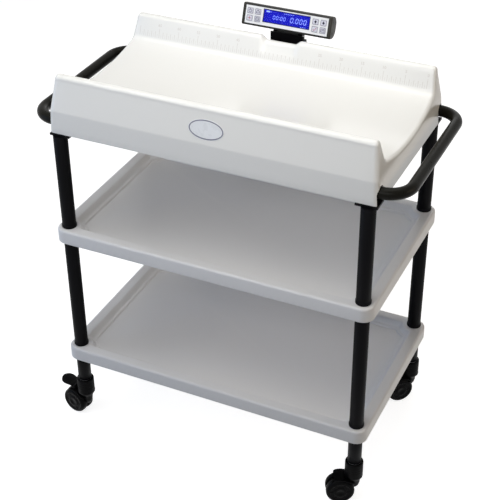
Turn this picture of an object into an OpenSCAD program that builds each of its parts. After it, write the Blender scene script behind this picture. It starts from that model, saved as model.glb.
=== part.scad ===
// Digital baby weighing scale on a three-tier trolley.
// Millimetres, +X along the trolley, +Y towards the display, +Z up, z = 0 on the floor.
// Each module draws its piece where it stands. The trolley's own centre is the middle of
// its four legs; frame_y moves the whole object so that its box is centred on the origin.

/* [Trolley] */
// Distance between leg centres along the trolley
leg_span_x = 710; // [560:5:860]
// Distance between leg centres across the trolley
leg_span_y = 400; // [340:5:480]
// Height of the lower shelf's rim above the floor
lower_shelf_z = 222; // [190:1:320]
// Height from the lower shelf's rim to the middle shelf's rim
shelf_pitch = 337; // [240:1:450]
// Height from the middle shelf's rim to the tray's bottom edge
tray_gap = 240; // [160:1:400]

/* [Legs] */
// Outer diameter of the leg tube
leg_d = 32; // [28:0.5:36]
// Wall of the leg tube
leg_wall = 1.5; // [1:0.1:2.5]
// Outer diameter of the ring at the foot of each length
ferrule_d = 34.5; // [33:0.5:40]
// Height of that ring
ferrule_h = 7; // [4:0.5:12]
// Depth to which a joiner enters each tube
joiner_reach = 40; // [20:1:60]
// Clearance between a joiner and the tube around it, all round
joiner_clear = 0.1; // [0.05:0.05:0.3]

/* [Shelves] */
// Height of a shelf's skirt
shelf_h = 34; // [28:1:45]
// Width of the rim outside the leg centres, and the radius of the shelf's corners
shelf_edge = 27; // [24:1:36]
// Width of the rim inside its outer edge
rim_w = 27; // [20:1:34]
// Radius of the raised corner around each leg
corner_boss_r = 26; // [22:1:30]
// Depth of the rim's upper step
step_h = 5; // [2:0.5:8]
// Width of the rim's upper step
step_w = 9; // [4:0.5:14]
// Depth of the shelf's floor below the rim
recess_h = 18; // [12:1:24]
// Thickness of the moulding
shelf_t = 4; // [2.5:0.5:5]
// Thickness of the web between two leg lengths
web_t = 10; // [6:1:14]

/* [Weighing tray] */
// Length of the tray's bottom edge beyond the legs' spacing, both ends together
tray_over_l = 46; // [20:2:80]
// Width of the tray's bottom edge
tray_base_w = 417; // [400:1:460]
// How much shorter the tray is at the crease around the skirt
tray_crease_in = 10; // [0:2:30]
// Height of that crease above the bottom edge
tray_crease_h = 53; // [48:1:60]
// How much shorter the tray is along the crest of the long walls
tray_top_in = 32; // [10:2:60]
// How much narrower the tray is over the crests of the long walls
tray_top_in_w = 35; // [17:1:60]
// Height of the tray
tray_h = 130; // [115:1:150]
// Radius of the rounded crest
crest_r = 11; // [8:0.5:14]
// Radius of the tray's upright corners
tray_corner_r = 12; // [8:1:20]
// Height of the weighing floor's lowest line above the bottom edge
floor_h = 53; // [50:1:58]
// Radius of the dished floor
dish_r = 515; // [400:5:900]
// Lean of the inner walls from upright, in degrees
wall_lean = 20; // [10:1:25]
// Radius where the floor turns up into the walls
foot_r = 20; // [12:1:30]
// Thickness of the moulding
tray_t = 4; // [3:0.5:5]
// Depth of the dip in the back wall, in front of the neck
dip_h = 10; // [4:1:14]
// Width of the dip at its bottom
dip_w = 66; // [40:2:90]
// Width of each ramp beside the dip
dip_ramp = 17; // [8:1:30]
// Distance between support bosses along the tray
boss_span_x = 440; // [300:10:520]
// Distance between support bosses across the tray
boss_span_y = 180; // [120:10:200]
// Diameter of a support boss
boss_d = 24; // [16:1:32]

/* [Frame under the tray] */
// Width of the frame's rails
rail_w = 25; // [20:1:30]
// Height of the frame's rails
rail_h = 38; // [36:1:40]
// Wall of the frame's rails
rail_wall = 2; // [1.5:0.25:3]
// Distance between the long rails' centres
rail_span_y = 374; // [330:1:378]
// Thickness of the corner plates and the neck's tongue
plate_t = 5; // [3:0.5:8]
// Length of a corner plate along the trolley
plate_l = 48; // [40:1:50]
// Width of a corner plate across the trolley
plate_w = 38; // [34:1:40]
// Drop from the tray's bottom edge to the rails' underside
frame_drop = 2; // [1:0.5:4]
// Width of the beam under the load cell
beam_w = 60; // [50:1:80]
// Height of that beam
beam_h = 12; // [8:1:12]
// Clearance left where one piece rests beside another
seat_gap = 0.3; // [0.2:0.05:0.5]

/* [Load cell and carrier] */
// Length of the load cell
cell_l = 130; // [110:1:150]
// Width of the load cell
cell_w = 40; // [30:1:50]
// Height of the load cell
cell_h = 22; // [18:1:22]
// Height of the pads at its two ends
cell_pad_h = 2; // [1:0.5:3]
// Length of each end pad
cell_pad_l = 40; // [30:1:45]
// Diameter of its two measuring holes
cell_hole_d = 15; // [10:0.5:16]
// Distance between those holes
cell_hole_span = 26; // [20:1:32]
// Length of the carrier plate
carrier_l = 480; // [420:10:560]
// Width of the carrier plate
carrier_w = 210; // [180:5:230]
// Thickness of the carrier plate
carrier_t = 4; // [3:0.5:5]
// Length of the battery pack
battery_l = 110; // [80:5:140]
// Width of the battery pack
battery_w = 60; // [40:5:70]
// Height of the battery pack
battery_h = 28; // [20:1:32]
// Distance from the trolley's centre to the battery pack
battery_x = 155; // [130:5:240]

/* [Handles] */
// Outer diameter of the handle tube
handle_d = 25.4; // [22:0.2:27]
// Wall of the handle tube
handle_wall = 1.6; // [1.2:0.1:2.5]
// Distance between the two ends of a handle
handle_span_y = 380; // [320:1:382]
// Distance from the tray's bottom edge up to the handle's centre
handle_rise = 23; // [21:0.5:24]
// Reach of the handle's bar beyond the leg centres
handle_reach = 70; // [60:1:110]
// Radius of the handle's bends, along the tube's centre
handle_bend_r = 50; // [40:1:54]
// Clearance between the tube and the notch in the tray's skirt
notch_clear = 2.8; // [2:0.1:3]

/* [Casters] */
// Diameter of a wheel
wheel_d = 66; // [50:1:76]
// Thickness of one wheel
wheel_t = 16.25; // [12:0.25:20]
// Radius of a wheel's outer edge
wheel_edge_r = 8; // [3:0.5:10]
// Thickness of the housing between the wheels
spine_t = 8; // [6:0.5:12]
// Gap between a wheel and the housing
wheel_gap = 0.5; // [0.3:0.1:1]
// Distance from the leg's axis back to the axle
trail = 30.6; // [24:0.2:36]
// Height of the top of the collar above the floor
collar_z = 114; // [105:1:125]
// Outer diameter of the collar
collar_d = 42; // [38:1:46]
// Length of the collar
collar_h = 40; // [30:1:46]
// Diameter of the axle
axle_d = 8; // [6:0.5:10]
// Diameter of the stem in the collar
stem_d = 11; // [9:0.5:12]
// Running clearance around the axle and the stem, all round
run_clear = 0.05; // [0.02:0.01:0.1]
// Gap between the wheels and the mudguard
guard_gap = 2; // [1.5:0.25:4]
// Thickness of the mudguard
guard_t = 2.5; // [2:0.25:4]
// Way that the front left caster trails, in degrees from +X
turn_fl = 169; // [0:1:359]
// Way that the front right caster trails
turn_fr = 207; // [0:1:359]
// Way that the back left caster trails
turn_bl = 194; // [0:1:359]
// Way that the back right caster trails
turn_br = 225; // [0:1:359]

/* [Brake pedals] */
// Reach of a pedal from its pin
pedal_l = 48; // [34:1:56]
// Width of a pedal at its pin
pedal_w = 30; // [24:1:36]
// Width of a pedal's round end
pedal_end_w = 36; // [36:1:44]
// Upward tilt of a free pedal's tread, in degrees
pedal_tilt = 6; // [0:1:10]
// Thickness of a pedal
pedal_t = 6; // [4:0.5:8]
// Distance from the leg's axis back to the pedal's pin
pedal_x = 28; // [27.5:0.5:30]
// Height of the pedal's pin above the wheel's top
pedal_rise = 11; // [10:0.5:13]
// Diameter of the pedal's pin
pedal_pin_d = 5; // [3:0.5:6]
// Swing of a pedal from free to locked, in degrees
pedal_swing = 15; // [10:1:20]

/* [Display neck] */
// Width of the neck
neck_w = 80; // [70:1:90]
// Depth of the neck, front to back
neck_d = 22; // [20:1:26]
// Wall of the neck's box
neck_wall = 2.5; // [2:0.5:4]
// Clearance between the tray's skirt and the neck
neck_clear = 3; // [2:0.5:8]
// Height of the tilt pin above the tray's bottom edge
pin_rise = 121; // [112:1:150]
// Diameter of the tilt pin
pin_d = 6; // [5:0.5:8]
// Outer diameter of the knuckle on the housing
knuckle_d = 16; // [14:0.5:17]
// Length of that knuckle
knuckle_l = 50; // [30:1:54]
// Thickness of each ear beside the knuckle
ear_t = 10; // [6:1:12]

/* [Display head] */
// Length of the housing between its end caps
head_l = 204; // [204:1:260]
// Height of the head
head_h = 50; // [49:0.5:56]
// Depth of the head
head_d = 34; // [32:0.5:44]
// Radius of the head's front edges
head_front_r = 5; // [3:0.5:5]
// Radius of the head's back edges
head_back_r = 20; // [14:1:22]
// Wall of the housing
head_wall = 2.5; // [2:0.25:3]
// Thickness of an end cap
cap_t = 6; // [4:0.5:10]
// Depth of an end cap's plug
cap_plug = 5; // [3:0.5:8]
// Tilt of the face from upright, in degrees
head_tilt = 19; // [8:1:30]
// Distance from the face back to the tilt pin
pin_back = 27.8; // [24:0.2:32]
// Distance from the head's underside down to the tilt pin
pin_below = 8; // [7:0.5:12]
// Length of the face panel
panel_l = 200; // [196:1:200]
// Height of the face panel
panel_h = 40; // [38:0.5:40]
// Length of the display window
window_l = 114; // [90:1:118]
// Height of the display window
window_h = 30; // [24:0.5:31]
// Height of the window's centre above the panel's centre
window_rise = 2.5; // [0:0.5:3]
// Thickness of the window
window_t = 1.5; // [1:0.25:2]
// Thickness of the circuit board
board_t = 1.6; // [1.2:0.2:2]

/* [Keys] */
// Width of a key
key_w = 15; // [12:0.5:16]
// Height of a key
key_h = 13.5; // [10:0.5:14]
// Distance from the face's centre to the inner keys' centres
key_inner_x = 70; // [68:0.5:72]
// Distance between keys of one row
key_pitch_x = 19; // [18:0.5:20]
// Distance between the two rows
key_pitch_y = 16.5; // [15.5:0.5:18]
// How far a key stands out from the panel
key_proud = 0.8; // [0.5:0.1:1.2]
// Clearance around a key, all round
key_clear = 0.2; // [0.1:0.05:0.4]
// Width of the flange that keeps a key in
key_flange = 1; // [0.6:0.1:1.2]

/* [Hidden] */
$fa = 4;
$fs = 0.6;
HULL_FN = 32;
EPS = 0.01;
CUT = 1;

LEFT = -1;
RIGHT = 1;
FRONT = -1;
BACK = 1;

// Heights of the shelves and the tray
mid_shelf_z = lower_shelf_z + shelf_pitch;
tray_z = mid_shelf_z + tray_gap;
frame_z = tray_z - frame_drop;
plate_z = frame_z - plate_t;

// Leg tube
leg_r = leg_d / 2;
leg_bore_r = leg_r - leg_wall;
joiner_r = leg_bore_r - joiner_clear;
stem_flange_t = 1;
leg_end_z = collar_z + seat_gap + stem_flange_t;

// Lengths of the weighing tray
tray_base_l = leg_span_x + tray_over_l;
tray_crease_l = tray_base_l - tray_crease_in;
tray_top_l = tray_base_l - tray_top_in;
tray_top_w = tray_base_w - tray_top_in_w;

// Section of the weighing tray, in Y and Z from the tray's bottom edge
crest_y = tray_top_w / 2 - crest_r;
crest_z = tray_h - crest_r;
crest_c = [crest_y, crest_z];
dish_c = [0, floor_h + dish_r];
wall_up = [sin(wall_lean), cos(wall_lean)];
wall_in = [-cos(wall_lean), sin(wall_lean)];
foot_from = crest_c + (crest_r + foot_r) * wall_in - dish_c;
foot_along = foot_from * wall_up;
foot_s = foot_along + sqrt(foot_along^2 - foot_from * foot_from + (dish_r - foot_r)^2);
foot_c = dish_c + foot_from - foot_s * wall_up;
tray_end_x = tray_base_l / 2;

// Stack on the load cell, from the beam up to the tray's bosses
beam_top_z = frame_z + beam_h;
cell_z = beam_top_z + cell_pad_h;
carrier_z = cell_z + cell_h + cell_pad_h;
pad_z = carrier_z + carrier_t;
boss_z = tray_z + floor_h - tray_t;
pad_h = boss_z - seat_gap - pad_z;
pad_rim = 2;
cell_end_x = cell_l / 2 - cell_pad_l / 2;

// Handle
handle_z = tray_z + handle_rise;
handle_y = handle_span_y / 2;
handle_bar_x = leg_span_x / 2 + handle_reach;
rail_out_x = leg_span_x / 2 + rail_w / 2;

// Caster, in its own frame: the leg's axis at the origin, trailing along +X
wheel_r = wheel_d / 2;
axle_r = axle_d / 2;
stem_r = stem_d / 2;
spine_y = spine_t / 2;
wheel_y = spine_y + wheel_gap;
wheel_cap_t = 4;
guard_in_r = wheel_r + guard_gap;
guard_out_r = guard_in_r + guard_t;
caster_half_w = wheel_y + wheel_t;
web_in = 0.25;
collar_edge = 2;
throat_r = 16;
throat_top_r = 18;
throat_w = 20;
cone_r = 13;
cone_h = 12;
pedal_z = wheel_d + pedal_rise;
pedal_hub_wall = 2.5;
pedal_hub_r = pedal_pin_d / 2 + pedal_hub_wall;
pedal_half = pedal_w / 2;
pedal_end_r = pedal_end_w / 2;
lug_t = 3;
lug_rim = 2;
hub_half = pedal_half - lug_t - seat_gap;
tooth_w = 5;
tooth_y = hub_half - tooth_w / 2 - seat_gap;
tooth_x = 5;
tooth_l = 5;
tooth_far = tooth_x + tooth_l;
tooth_at = pedal_x + tooth_far * cos(pedal_swing) - pedal_rise * sin(pedal_swing) - trail;
tooth_gap = 0.15;
tooth_low = (pedal_rise + wheel_r - sqrt(wheel_r^2 - tooth_at^2) - tooth_gap
    - tooth_far * sin(pedal_swing)) / cos(pedal_swing);

// Neck and tilt pin
neck_y = tray_base_w / 2 + neck_clear;
pin_off_y = 0.5;
pin_y = neck_y + neck_d / 2 + pin_off_y;
pin_z = tray_z + pin_rise;
pin_r = pin_d / 2;
knuckle_in = 1;
ear_rim = 1;
ear_r = knuckle_d / 2 + ear_rim;
ear_x = knuckle_l / 2 + seat_gap;
neck_top_z = pin_z - ear_r;
shroud_rise = 6;
shroud_z = pin_z + shroud_rise;

// Face of the head, measured up from the head's underside and back from the face
face_mid = head_h / 2;
window_v = face_mid + window_rise;
panel_flange_t = 1.5;
panel_flange_w = 1.5;
panel_back = head_wall + panel_flange_t;
flange_room = 2 * panel_flange_w + seat_gap;
lcd_t = 4.5;
lcd_in = 0.5;
lcd_out = 1.5;
lcd_back = panel_back + lcd_t;
board_w = lcd_back + seat_gap;
board_in_x = 2;
board_in_v = 0.5;
key_front = -key_proud;
key_flange_w = panel_back + key_clear;
key_flange_t = 1;
key_rows = [face_mid + key_pitch_y / 2, face_mid - key_pitch_y / 2];
key_cols = [-key_inner_x - key_pitch_x, -key_inner_x, key_inner_x, key_inner_x + key_pitch_x];

// How far a wheel reaches in Y from its leg, on the side given by way
function wheel_reach(turn, way) =
    way * trail * sin(turn)
    + (wheel_r - wheel_edge_r) * abs(sin(turn))
    + (caster_half_w - wheel_edge_r) * abs(cos(turn))
    + wheel_edge_r;

// Centre of the trolley in Y, so that the whole object's box is centred on the origin
head_reach = pin_y - (pin_back - head_d + head_back_r) * cos(head_tilt)
    + (head_h - head_back_r + pin_below) * sin(head_tilt) + head_back_r;
front_reach = leg_span_y / 2 + max(wheel_reach(turn_fl, FRONT), wheel_reach(turn_fr, FRONT), shelf_edge);
back_reach = max(
    head_reach,
    neck_y + neck_d,
    leg_span_y / 2 + max(wheel_reach(turn_bl, BACK), wheel_reach(turn_br, BACK), shelf_edge));
frame_y = (front_reach - back_reach) / 2;

// ---- Placing -------------------------------------------------------------------------

module on_trolley() {
    translate([0, frame_y, 0]) children();
}

module at_leg(side, end) {
    on_trolley() translate([side * leg_span_x / 2, end * leg_span_y / 2, 0]) children();
}

module at_legs() {
    for (side = [LEFT, RIGHT], end = [FRONT, BACK]) at_leg(side, end) children();
}

module on_head() {
    on_trolley()
        translate([0, pin_y, pin_z])
            rotate([-head_tilt, 0, 0])
                translate([0, -pin_back, pin_below])
                    children();
}

// Turns an outline drawn in Y and Z into a solid along X
module along_x(length) {
    translate([-length / 2, 0, 0]) rotate([90, 0, 90]) linear_extrude(length) children();
}

module rounded_rect(l, w, r) {
    square([l - 2 * r, w], center = true);
    square([l, w - 2 * r], center = true);
    for (x = [-1, 1], y = [-1, 1])
        translate([x * (l / 2 - r), y * (w / 2 - r)]) circle(r);
}

module ring(outer_r, inner_r, h) {
    difference() {
        cylinder(r = outer_r, h = h);
        translate([0, 0, -CUT]) cylinder(r = inner_r, h = h + 2 * CUT);
    }
}

// ---- Legs ----------------------------------------------------------------------------

// One length of leg tube, with the ring at its foot where it stands on a shelf
module leg_length(from_z, to_z, with_ferrule = true) {
    color("#15161a") translate([0, 0, from_z]) {
        ring(leg_r, leg_bore_r, to_z - from_z);
        if (with_ferrule) ring(ferrule_d / 2, leg_bore_r, ferrule_h);
    }
}

module leg_top(side, end) {
    at_leg(side, end) leg_length(mid_shelf_z, plate_z);
}

module leg_mid(side, end) {
    at_leg(side, end) leg_length(lower_shelf_z, mid_shelf_z - web_t);
}

module leg_foot(side, end) {
    at_leg(side, end) leg_length(leg_end_z, lower_shelf_z - web_t, false);
}

// Plugs that join one length to the next through a shelf's web
module leg_joiners() {
    at_legs() for (z = [lower_shelf_z, mid_shelf_z])
        color("#3a3c40") translate([0, 0, z - web_t - joiner_reach])
            cylinder(r = joiner_r, h = web_t + 2 * joiner_reach);
}

// ---- Shelves -------------------------------------------------------------------------

// Outline of the hollow in a shelf's top, drawn in by inset, clear of the leg corners
module recess_outline(inset) {
    difference() {
        square([leg_span_x + 2 * (shelf_edge - rim_w - inset),
                leg_span_y + 2 * (shelf_edge - rim_w - inset)], center = true);
        for (x = [-1, 1], y = [-1, 1])
            translate([x * leg_span_x / 2, y * leg_span_y / 2]) circle(corner_boss_r + inset);
    }
}

module shelf(top_z) {
    outer_l = leg_span_x + 2 * shelf_edge;
    outer_w = leg_span_y + 2 * shelf_edge;
    floor_z = shelf_h - recess_h;
    color("#dcdde4") on_trolley() translate([0, 0, top_z - shelf_h]) difference() {
        linear_extrude(shelf_h) rounded_rect(outer_l, outer_w, shelf_edge);
        translate([0, 0, shelf_h - step_h]) linear_extrude(step_h + CUT) recess_outline(0);
        translate([0, 0, floor_z]) linear_extrude(recess_h) recess_outline(step_w);
        shelf_underside(outer_l, outer_w, floor_z);
        for (x = [-1, 1], y = [-1, 1]) translate([x * leg_span_x / 2, y * leg_span_y / 2, 0]) {
            translate([0, 0, -CUT]) cylinder(r = joiner_r + joiner_clear, h = shelf_h + 2 * CUT);
            translate([0, 0, -CUT]) cylinder(r = leg_r + joiner_clear, h = shelf_h - web_t + CUT);
        }
    }
}

// Hollow under a shelf: what is left inside the skirt, around the floor and the sockets
module shelf_underside(outer_l, outer_w, floor_z) {
    difference() {
        translate([0, 0, -CUT]) linear_extrude(shelf_h - shelf_t + CUT)
            rounded_rect(outer_l - 2 * shelf_t, outer_w - 2 * shelf_t, shelf_edge - shelf_t);
        translate([0, 0, floor_z - shelf_t]) linear_extrude(shelf_h) recess_outline(step_w - shelf_t);
        translate([0, 0, shelf_h - step_h - shelf_t]) linear_extrude(shelf_h) recess_outline(-shelf_t);
        for (x = [-1, 1], y = [-1, 1]) translate([x * leg_span_x / 2, y * leg_span_y / 2, -CUT])
            cylinder(r = leg_r + shelf_t, h = shelf_h);
    }
}

module middle_shelf() {
    shelf(mid_shelf_z);
}

module lower_shelf() {
    shelf(lower_shelf_z);
}

// ---- Weighing tray -------------------------------------------------------------------

// Right half of the hollow over the weighing floor, grown into the moulding by grow
module trough_half(grow) {
    dish_end = dish_c + (foot_c - dish_c) * (dish_r + grow) / (dish_r - foot_r);
    wall_foot = foot_c - (foot_r + grow) * wall_in;
    wall_top = crest_c + (crest_r - grow) * wall_in;
    over_z = tray_h + 2 * CUT;
    intersection() {
        translate(dish_c) circle(dish_r + grow);
        square([dish_end.x, dish_end.y]);
    }
    translate(foot_c) circle(foot_r + grow);
    difference() {
        polygon([[0, dish_end.y - EPS], [0, over_z], [crest_y, over_z], crest_c,
                 wall_top, wall_foot, dish_end]);
        translate(crest_c) circle(crest_r - grow);
    }
}

module trough(grow) {
    along_x(tray_base_l + 2 * CUT) {
        trough_half(grow);
        mirror([1, 0]) trough_half(grow);
    }
}

// Outer body of the tray, drawn in by inset on every side but the bottom
module tray_body(inset) {
    low = inset > 0 ? CUT : 0;
    hull() {
        translate([0, 0, -low]) linear_extrude(EPS)
            rounded_rect(tray_base_l - 2 * inset, tray_base_w - 2 * inset, tray_corner_r - inset,
                         $fn = HULL_FN);
        translate([0, 0, tray_crease_h]) linear_extrude(EPS)
            rounded_rect(tray_crease_l - 2 * inset, tray_base_w - 2 * inset, tray_corner_r - inset,
                         $fn = HULL_FN);
        for (x = [-1, 1], y = [-1, 1])
            translate([x * (tray_top_l / 2 - crest_r), y * crest_y, crest_z])
                sphere(crest_r - inset, $fn = HULL_FN);
    }
}

// Dip in the back wall in front of the neck
module neck_dip(grow) {
    low = dip_w / 2 + grow;
    high = low + dip_ramp * (dip_h + CUT) / dip_h;
    translate([0, tray_base_w / 2, tray_h - dip_h - grow]) rotate([90, 0, 0])
        linear_extrude(crest_r * 2 + tray_base_w / 2 - tray_top_w / 2)
            polygon([[-low, 0], [low, 0], [high, dip_h + CUT], [-high, dip_h + CUT]]);
}

// Notch in an end of the skirt, open at the bottom, around one leg of a handle
module handle_notch(side, end) {
    notch_r = handle_d / 2 + notch_clear;
    depth = tray_corner_r + tray_t;
    translate([side * (tray_end_x + CUT - depth / 2), end * handle_y, 0]) {
        translate([0, 0, handle_rise]) rotate([0, 90, 0]) cylinder(r = notch_r, h = depth, center = true);
        translate([0, 0, (handle_rise - CUT) / 2])
            cube([depth, 2 * notch_r, handle_rise + CUT], center = true);
    }
}

module weigh_tray() {
    color("#f2f3f5") on_trolley() translate([0, 0, tray_z]) {
        difference() {
            tray_body(0);
            trough(0);
            difference() {
                tray_body(tray_t);
                trough(tray_t);
                neck_dip(tray_t);
            }
            neck_dip(0);
            for (side = [LEFT, RIGHT], end = [FRONT, BACK]) handle_notch(side, end);
        }
        difference() {
            for (x = [-1, 1], y = [-1, 1])
                translate([x * boss_span_x / 2, y * boss_span_y / 2, floor_h - tray_t])
                    cylinder(d = boss_d, h = 2 * tray_t + boss_span_y^2 / dish_r / 8 + CUT);
            trough(tray_t / 2);
        }
    }
}

// ---- Frame, load cell and carrier ----------------------------------------------------

// The frame's ring of rails, drawn in by inset, with its long rails lengthened by extra
module rail_ring(inset, extra) {
    w = rail_w - 2 * inset;
    h = rail_h - 2 * inset;
    for (y = [-1, 1]) translate([0, y * rail_span_y / 2, 0])
        cube([2 * rail_out_x + extra, w, h], center = true);
    for (x = [-1, 1]) translate([x * leg_span_x / 2, 0, 0])
        cube([w, rail_span_y, h], center = true);
}

module upper_frame() {
    beam_l = rail_span_y - rail_w + 2 * EPS;
    beam_wall = 3;
    spigot_wall = 3;
    color("#141518") {
        on_trolley() translate([0, 0, frame_z]) {
            translate([0, 0, rail_h / 2]) difference() {
                rail_ring(0, 0);
                rail_ring(rail_wall, CUT);
            }
            translate([-cell_end_x, 0, 0]) difference() {
                translate([0, 0, beam_h / 2]) cube([beam_w, beam_l, beam_h], center = true);
                translate([0, 0, (beam_h - beam_wall - CUT) / 2])
                    cube([beam_w - 2 * beam_wall, beam_l + CUT, beam_h - beam_wall + CUT], center = true);
            }
        }
        at_legs() translate([0, 0, plate_z - joiner_reach])
            ring(joiner_r, joiner_r - spigot_wall, joiner_reach + EPS);
        for (side = [LEFT, RIGHT], end = [FRONT, BACK]) corner_plate(side, end);
    }
}

// Plate on a leg's top, set in a little from the leg's axis
module corner_plate(side, end) {
    inset_x = 3;
    inset_y = 11;
    at_leg(side, end) translate([-side * inset_x, -end * inset_y, plate_z + plate_t / 2])
        cube([plate_l, plate_w, plate_t + EPS], center = true);
}

module load_cell() {
    color("#b9bcc2") on_trolley() difference() {
        union() {
            translate([0, 0, cell_z + cell_h / 2]) cube([cell_l, cell_w, cell_h], center = true);
            translate([-cell_end_x, 0, beam_top_z + cell_pad_h / 2])
                cube([cell_pad_l, cell_w, cell_pad_h + EPS], center = true);
            translate([cell_end_x, 0, cell_z + cell_h + cell_pad_h / 2])
                cube([cell_pad_l, cell_w, cell_pad_h + EPS], center = true);
        }
        for (x = [-1, 1]) translate([x * cell_hole_span / 2, 0, cell_z + cell_h / 2])
            rotate([90, 0, 0]) cylinder(d = cell_hole_d, h = cell_w + 2 * CUT, center = true);
    }
}

module tray_carrier() {
    color("#8f9297") on_trolley() translate([0, 0, carrier_z])
        linear_extrude(carrier_t) rounded_rect(carrier_l, carrier_w, boss_d / 2);
}

module carrier_pads() {
    for (x = [-1, 1], y = [-1, 1]) color("#2b2b2d") on_trolley()
        translate([x * boss_span_x / 2, y * boss_span_y / 2, pad_z])
            cylinder(d = boss_d - 2 * pad_rim, h = pad_h);
}

module battery_pack() {
    inner_y = rail_span_y / 2 - rail_w / 2 - seat_gap;
    color("#26272b") on_trolley()
        translate([battery_x, inner_y - battery_w / 2, frame_z + battery_h / 2 + CUT])
            cube([battery_l, battery_w, battery_h], center = true);
}

// ---- Handles -------------------------------------------------------------------------

module tube_ring() {
    difference() {
        circle(d = handle_d);
        circle(d = handle_d - 2 * handle_wall);
    }
}

// From a weld on the frame out to the end of the bend; the next piece starts on its face
module handle_arm() {
    run_l = handle_bar_x - handle_bend_r - rail_out_x;
    translate([rail_out_x, handle_y, 0]) rotate([0, 90, 0]) linear_extrude(run_l) tube_ring();
    translate([handle_bar_x - handle_bend_r, handle_y - handle_bend_r, 0])
        rotate_extrude(angle = 90) translate([handle_bend_r, 0]) tube_ring();
}

module handle(side) {
    bar_l = handle_span_y - 2 * handle_bend_r;
    color("#1c1b1a") on_trolley() translate([0, 0, handle_z]) mirror([side == LEFT ? 1 : 0, 0, 0]) {
        translate([handle_bar_x, -bar_l / 2, 0]) rotate([-90, 0, 0]) linear_extrude(bar_l) tube_ring();
        for (way = [0, 1]) mirror([0, way, 0]) handle_arm();
    }
}

// ---- Casters -------------------------------------------------------------------------

module at_caster(side, end, turn) {
    at_leg(side, end) rotate([0, 0, turn]) children();
}

// A rod across a caster, along its own Y
module cross_rod(x, z, r, length) {
    translate([x, 0, z]) rotate([90, 0, 0]) cylinder(r = r, h = length, center = true);
}

module caster_stems() {
    at_legs() color("#5b5d61") {
        translate([0, 0, leg_end_z]) cylinder(r = joiner_r, h = joiner_reach);
        translate([0, 0, collar_z + seat_gap]) cylinder(r = leg_r, h = stem_flange_t + EPS);
        translate([0, 0, collar_z - collar_h + shelf_t])
            cylinder(r = stem_r, h = collar_h - shelf_t + seat_gap + EPS);
    }
}

// Two circles joined by their outer tangents
module link_outline(a, a_r, b, b_r) {
    along = (b - a) / norm(b - a);
    across = [-along.y, along.x];
    lean = (a_r - b_r) / norm(b - a);
    side = lean * along + sqrt(1 - lean^2) * across;
    other = lean * along - sqrt(1 - lean^2) * across;
    bite = 0.02;
    translate(a) circle(a_r);
    translate(b) circle(b_r);
    polygon([a + (a_r - bite) * side, b + (b_r - bite) * side,
             b + (b_r - bite) * other, a + (a_r - bite) * other]);
}

// A plate across a caster, its outline drawn in X and Z
module cross_plate(thickness) {
    rotate([90, 0, 0]) linear_extrude(thickness, center = true) children();
}

// The housing's solid body: collar, throat and the spine that holds the axle
module caster_body() {
    collar_low = collar_z - collar_h;
    collar_r = collar_d / 2;
    throat_z = wheel_r + throat_r;
    top_z = collar_z - collar_edge;
    translate([0, 0, collar_low]) cylinder(r = collar_r, h = collar_h - collar_edge);
    translate([0, 0, top_z]) cylinder(r1 = collar_r, r2 = collar_r - collar_edge, h = collar_edge);
    difference() {
        union() {
            translate([0, 0, collar_low - cone_h]) cylinder(r1 = cone_r, r2 = collar_r, h = cone_h);
            cross_plate(throat_w) link_outline([0, throat_z], throat_r, [0, collar_low], throat_top_r);
            cross_plate(spine_t) link_outline([0, throat_z], throat_r, [trail, wheel_r], axle_r * 3);
        }
        for (y = [-1, 1]) translate([trail, y * (spine_y + collar_r), wheel_r])
            rotate([90, 0, 0]) cylinder(r = guard_in_r + guard_t / 2, h = collar_d, center = true);
        translate([0, 0, collar_low]) cylinder(r = collar_d, h = collar_h);
    }
}

// Mudguard over the wheels, from the collar back past the top, on a web above the axle
module mudguard() {
    guard_from = 68;
    guard_to = 150;
    web_w = spine_t - 2 * web_in;
    translate([trail, 0, wheel_r]) rotate([90, 0, 0]) rotate([0, 0, guard_from]) {
        rotate_extrude(angle = guard_to - guard_from)
            translate([guard_in_r, -caster_half_w]) square([guard_t, 2 * caster_half_w]);
        rotate_extrude(angle = guard_to - guard_from)
            translate([axle_r * 2, -web_w / 2]) square([guard_in_r + guard_t / 2 - axle_r * 2, web_w]);
    }
}

// Lugs and pin that carry a brake pedal, and the slots for its teeth
module pedal_lugs() {
    lug_r = pedal_pin_d / 2 + lug_rim;
    lug_low = wheel_r + guard_in_r + EPS;
    for (y = [-1, 1]) translate([0, y * (pedal_half - lug_t / 2), 0]) {
        cross_rod(pedal_x, pedal_z, lug_r, lug_t);
        translate([pedal_x, 0, (lug_low + pedal_z) / 2])
            cube([2 * lug_r, lug_t, pedal_z - lug_low], center = true);
    }
    cross_rod(pedal_x, pedal_z, pedal_pin_d / 2, pedal_w - EPS);
}

module pedal_slots() {
    slack = 1.5;
    for (y = [-1, 1])
        translate([pedal_x + tooth_x - 2 * slack, y * tooth_y - tooth_w / 2 - slack, wheel_d + CUT])
            cube([tooth_l + 4 * slack, tooth_w + 2 * slack, pedal_z - wheel_d]);
}

module caster_housing(side, end, turn, braked) {
    color("#121316") at_caster(side, end, turn) {
        difference() {
            union() {
                caster_body();
                mudguard();
            }
            cross_rod(trail, wheel_r, axle_r, 2 * caster_half_w);
            translate([0, 0, collar_z - collar_h + shelf_t - CUT])
                cylinder(r = stem_r + run_clear, h = collar_h);
            if (braked) {
                pedal_slots();
                cross_rod(pedal_x, pedal_z, pedal_hub_r + seat_gap, 2 * hub_half + 2 * seat_gap);
            }
        }
        if (braked) pedal_lugs();
    }
}

module caster_axle(side, end, turn) {
    color("#9a9ca0") at_caster(side, end, turn)
        cross_rod(trail, wheel_r, axle_r, 2 * (caster_half_w - wheel_cap_t - seat_gap));
}

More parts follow.
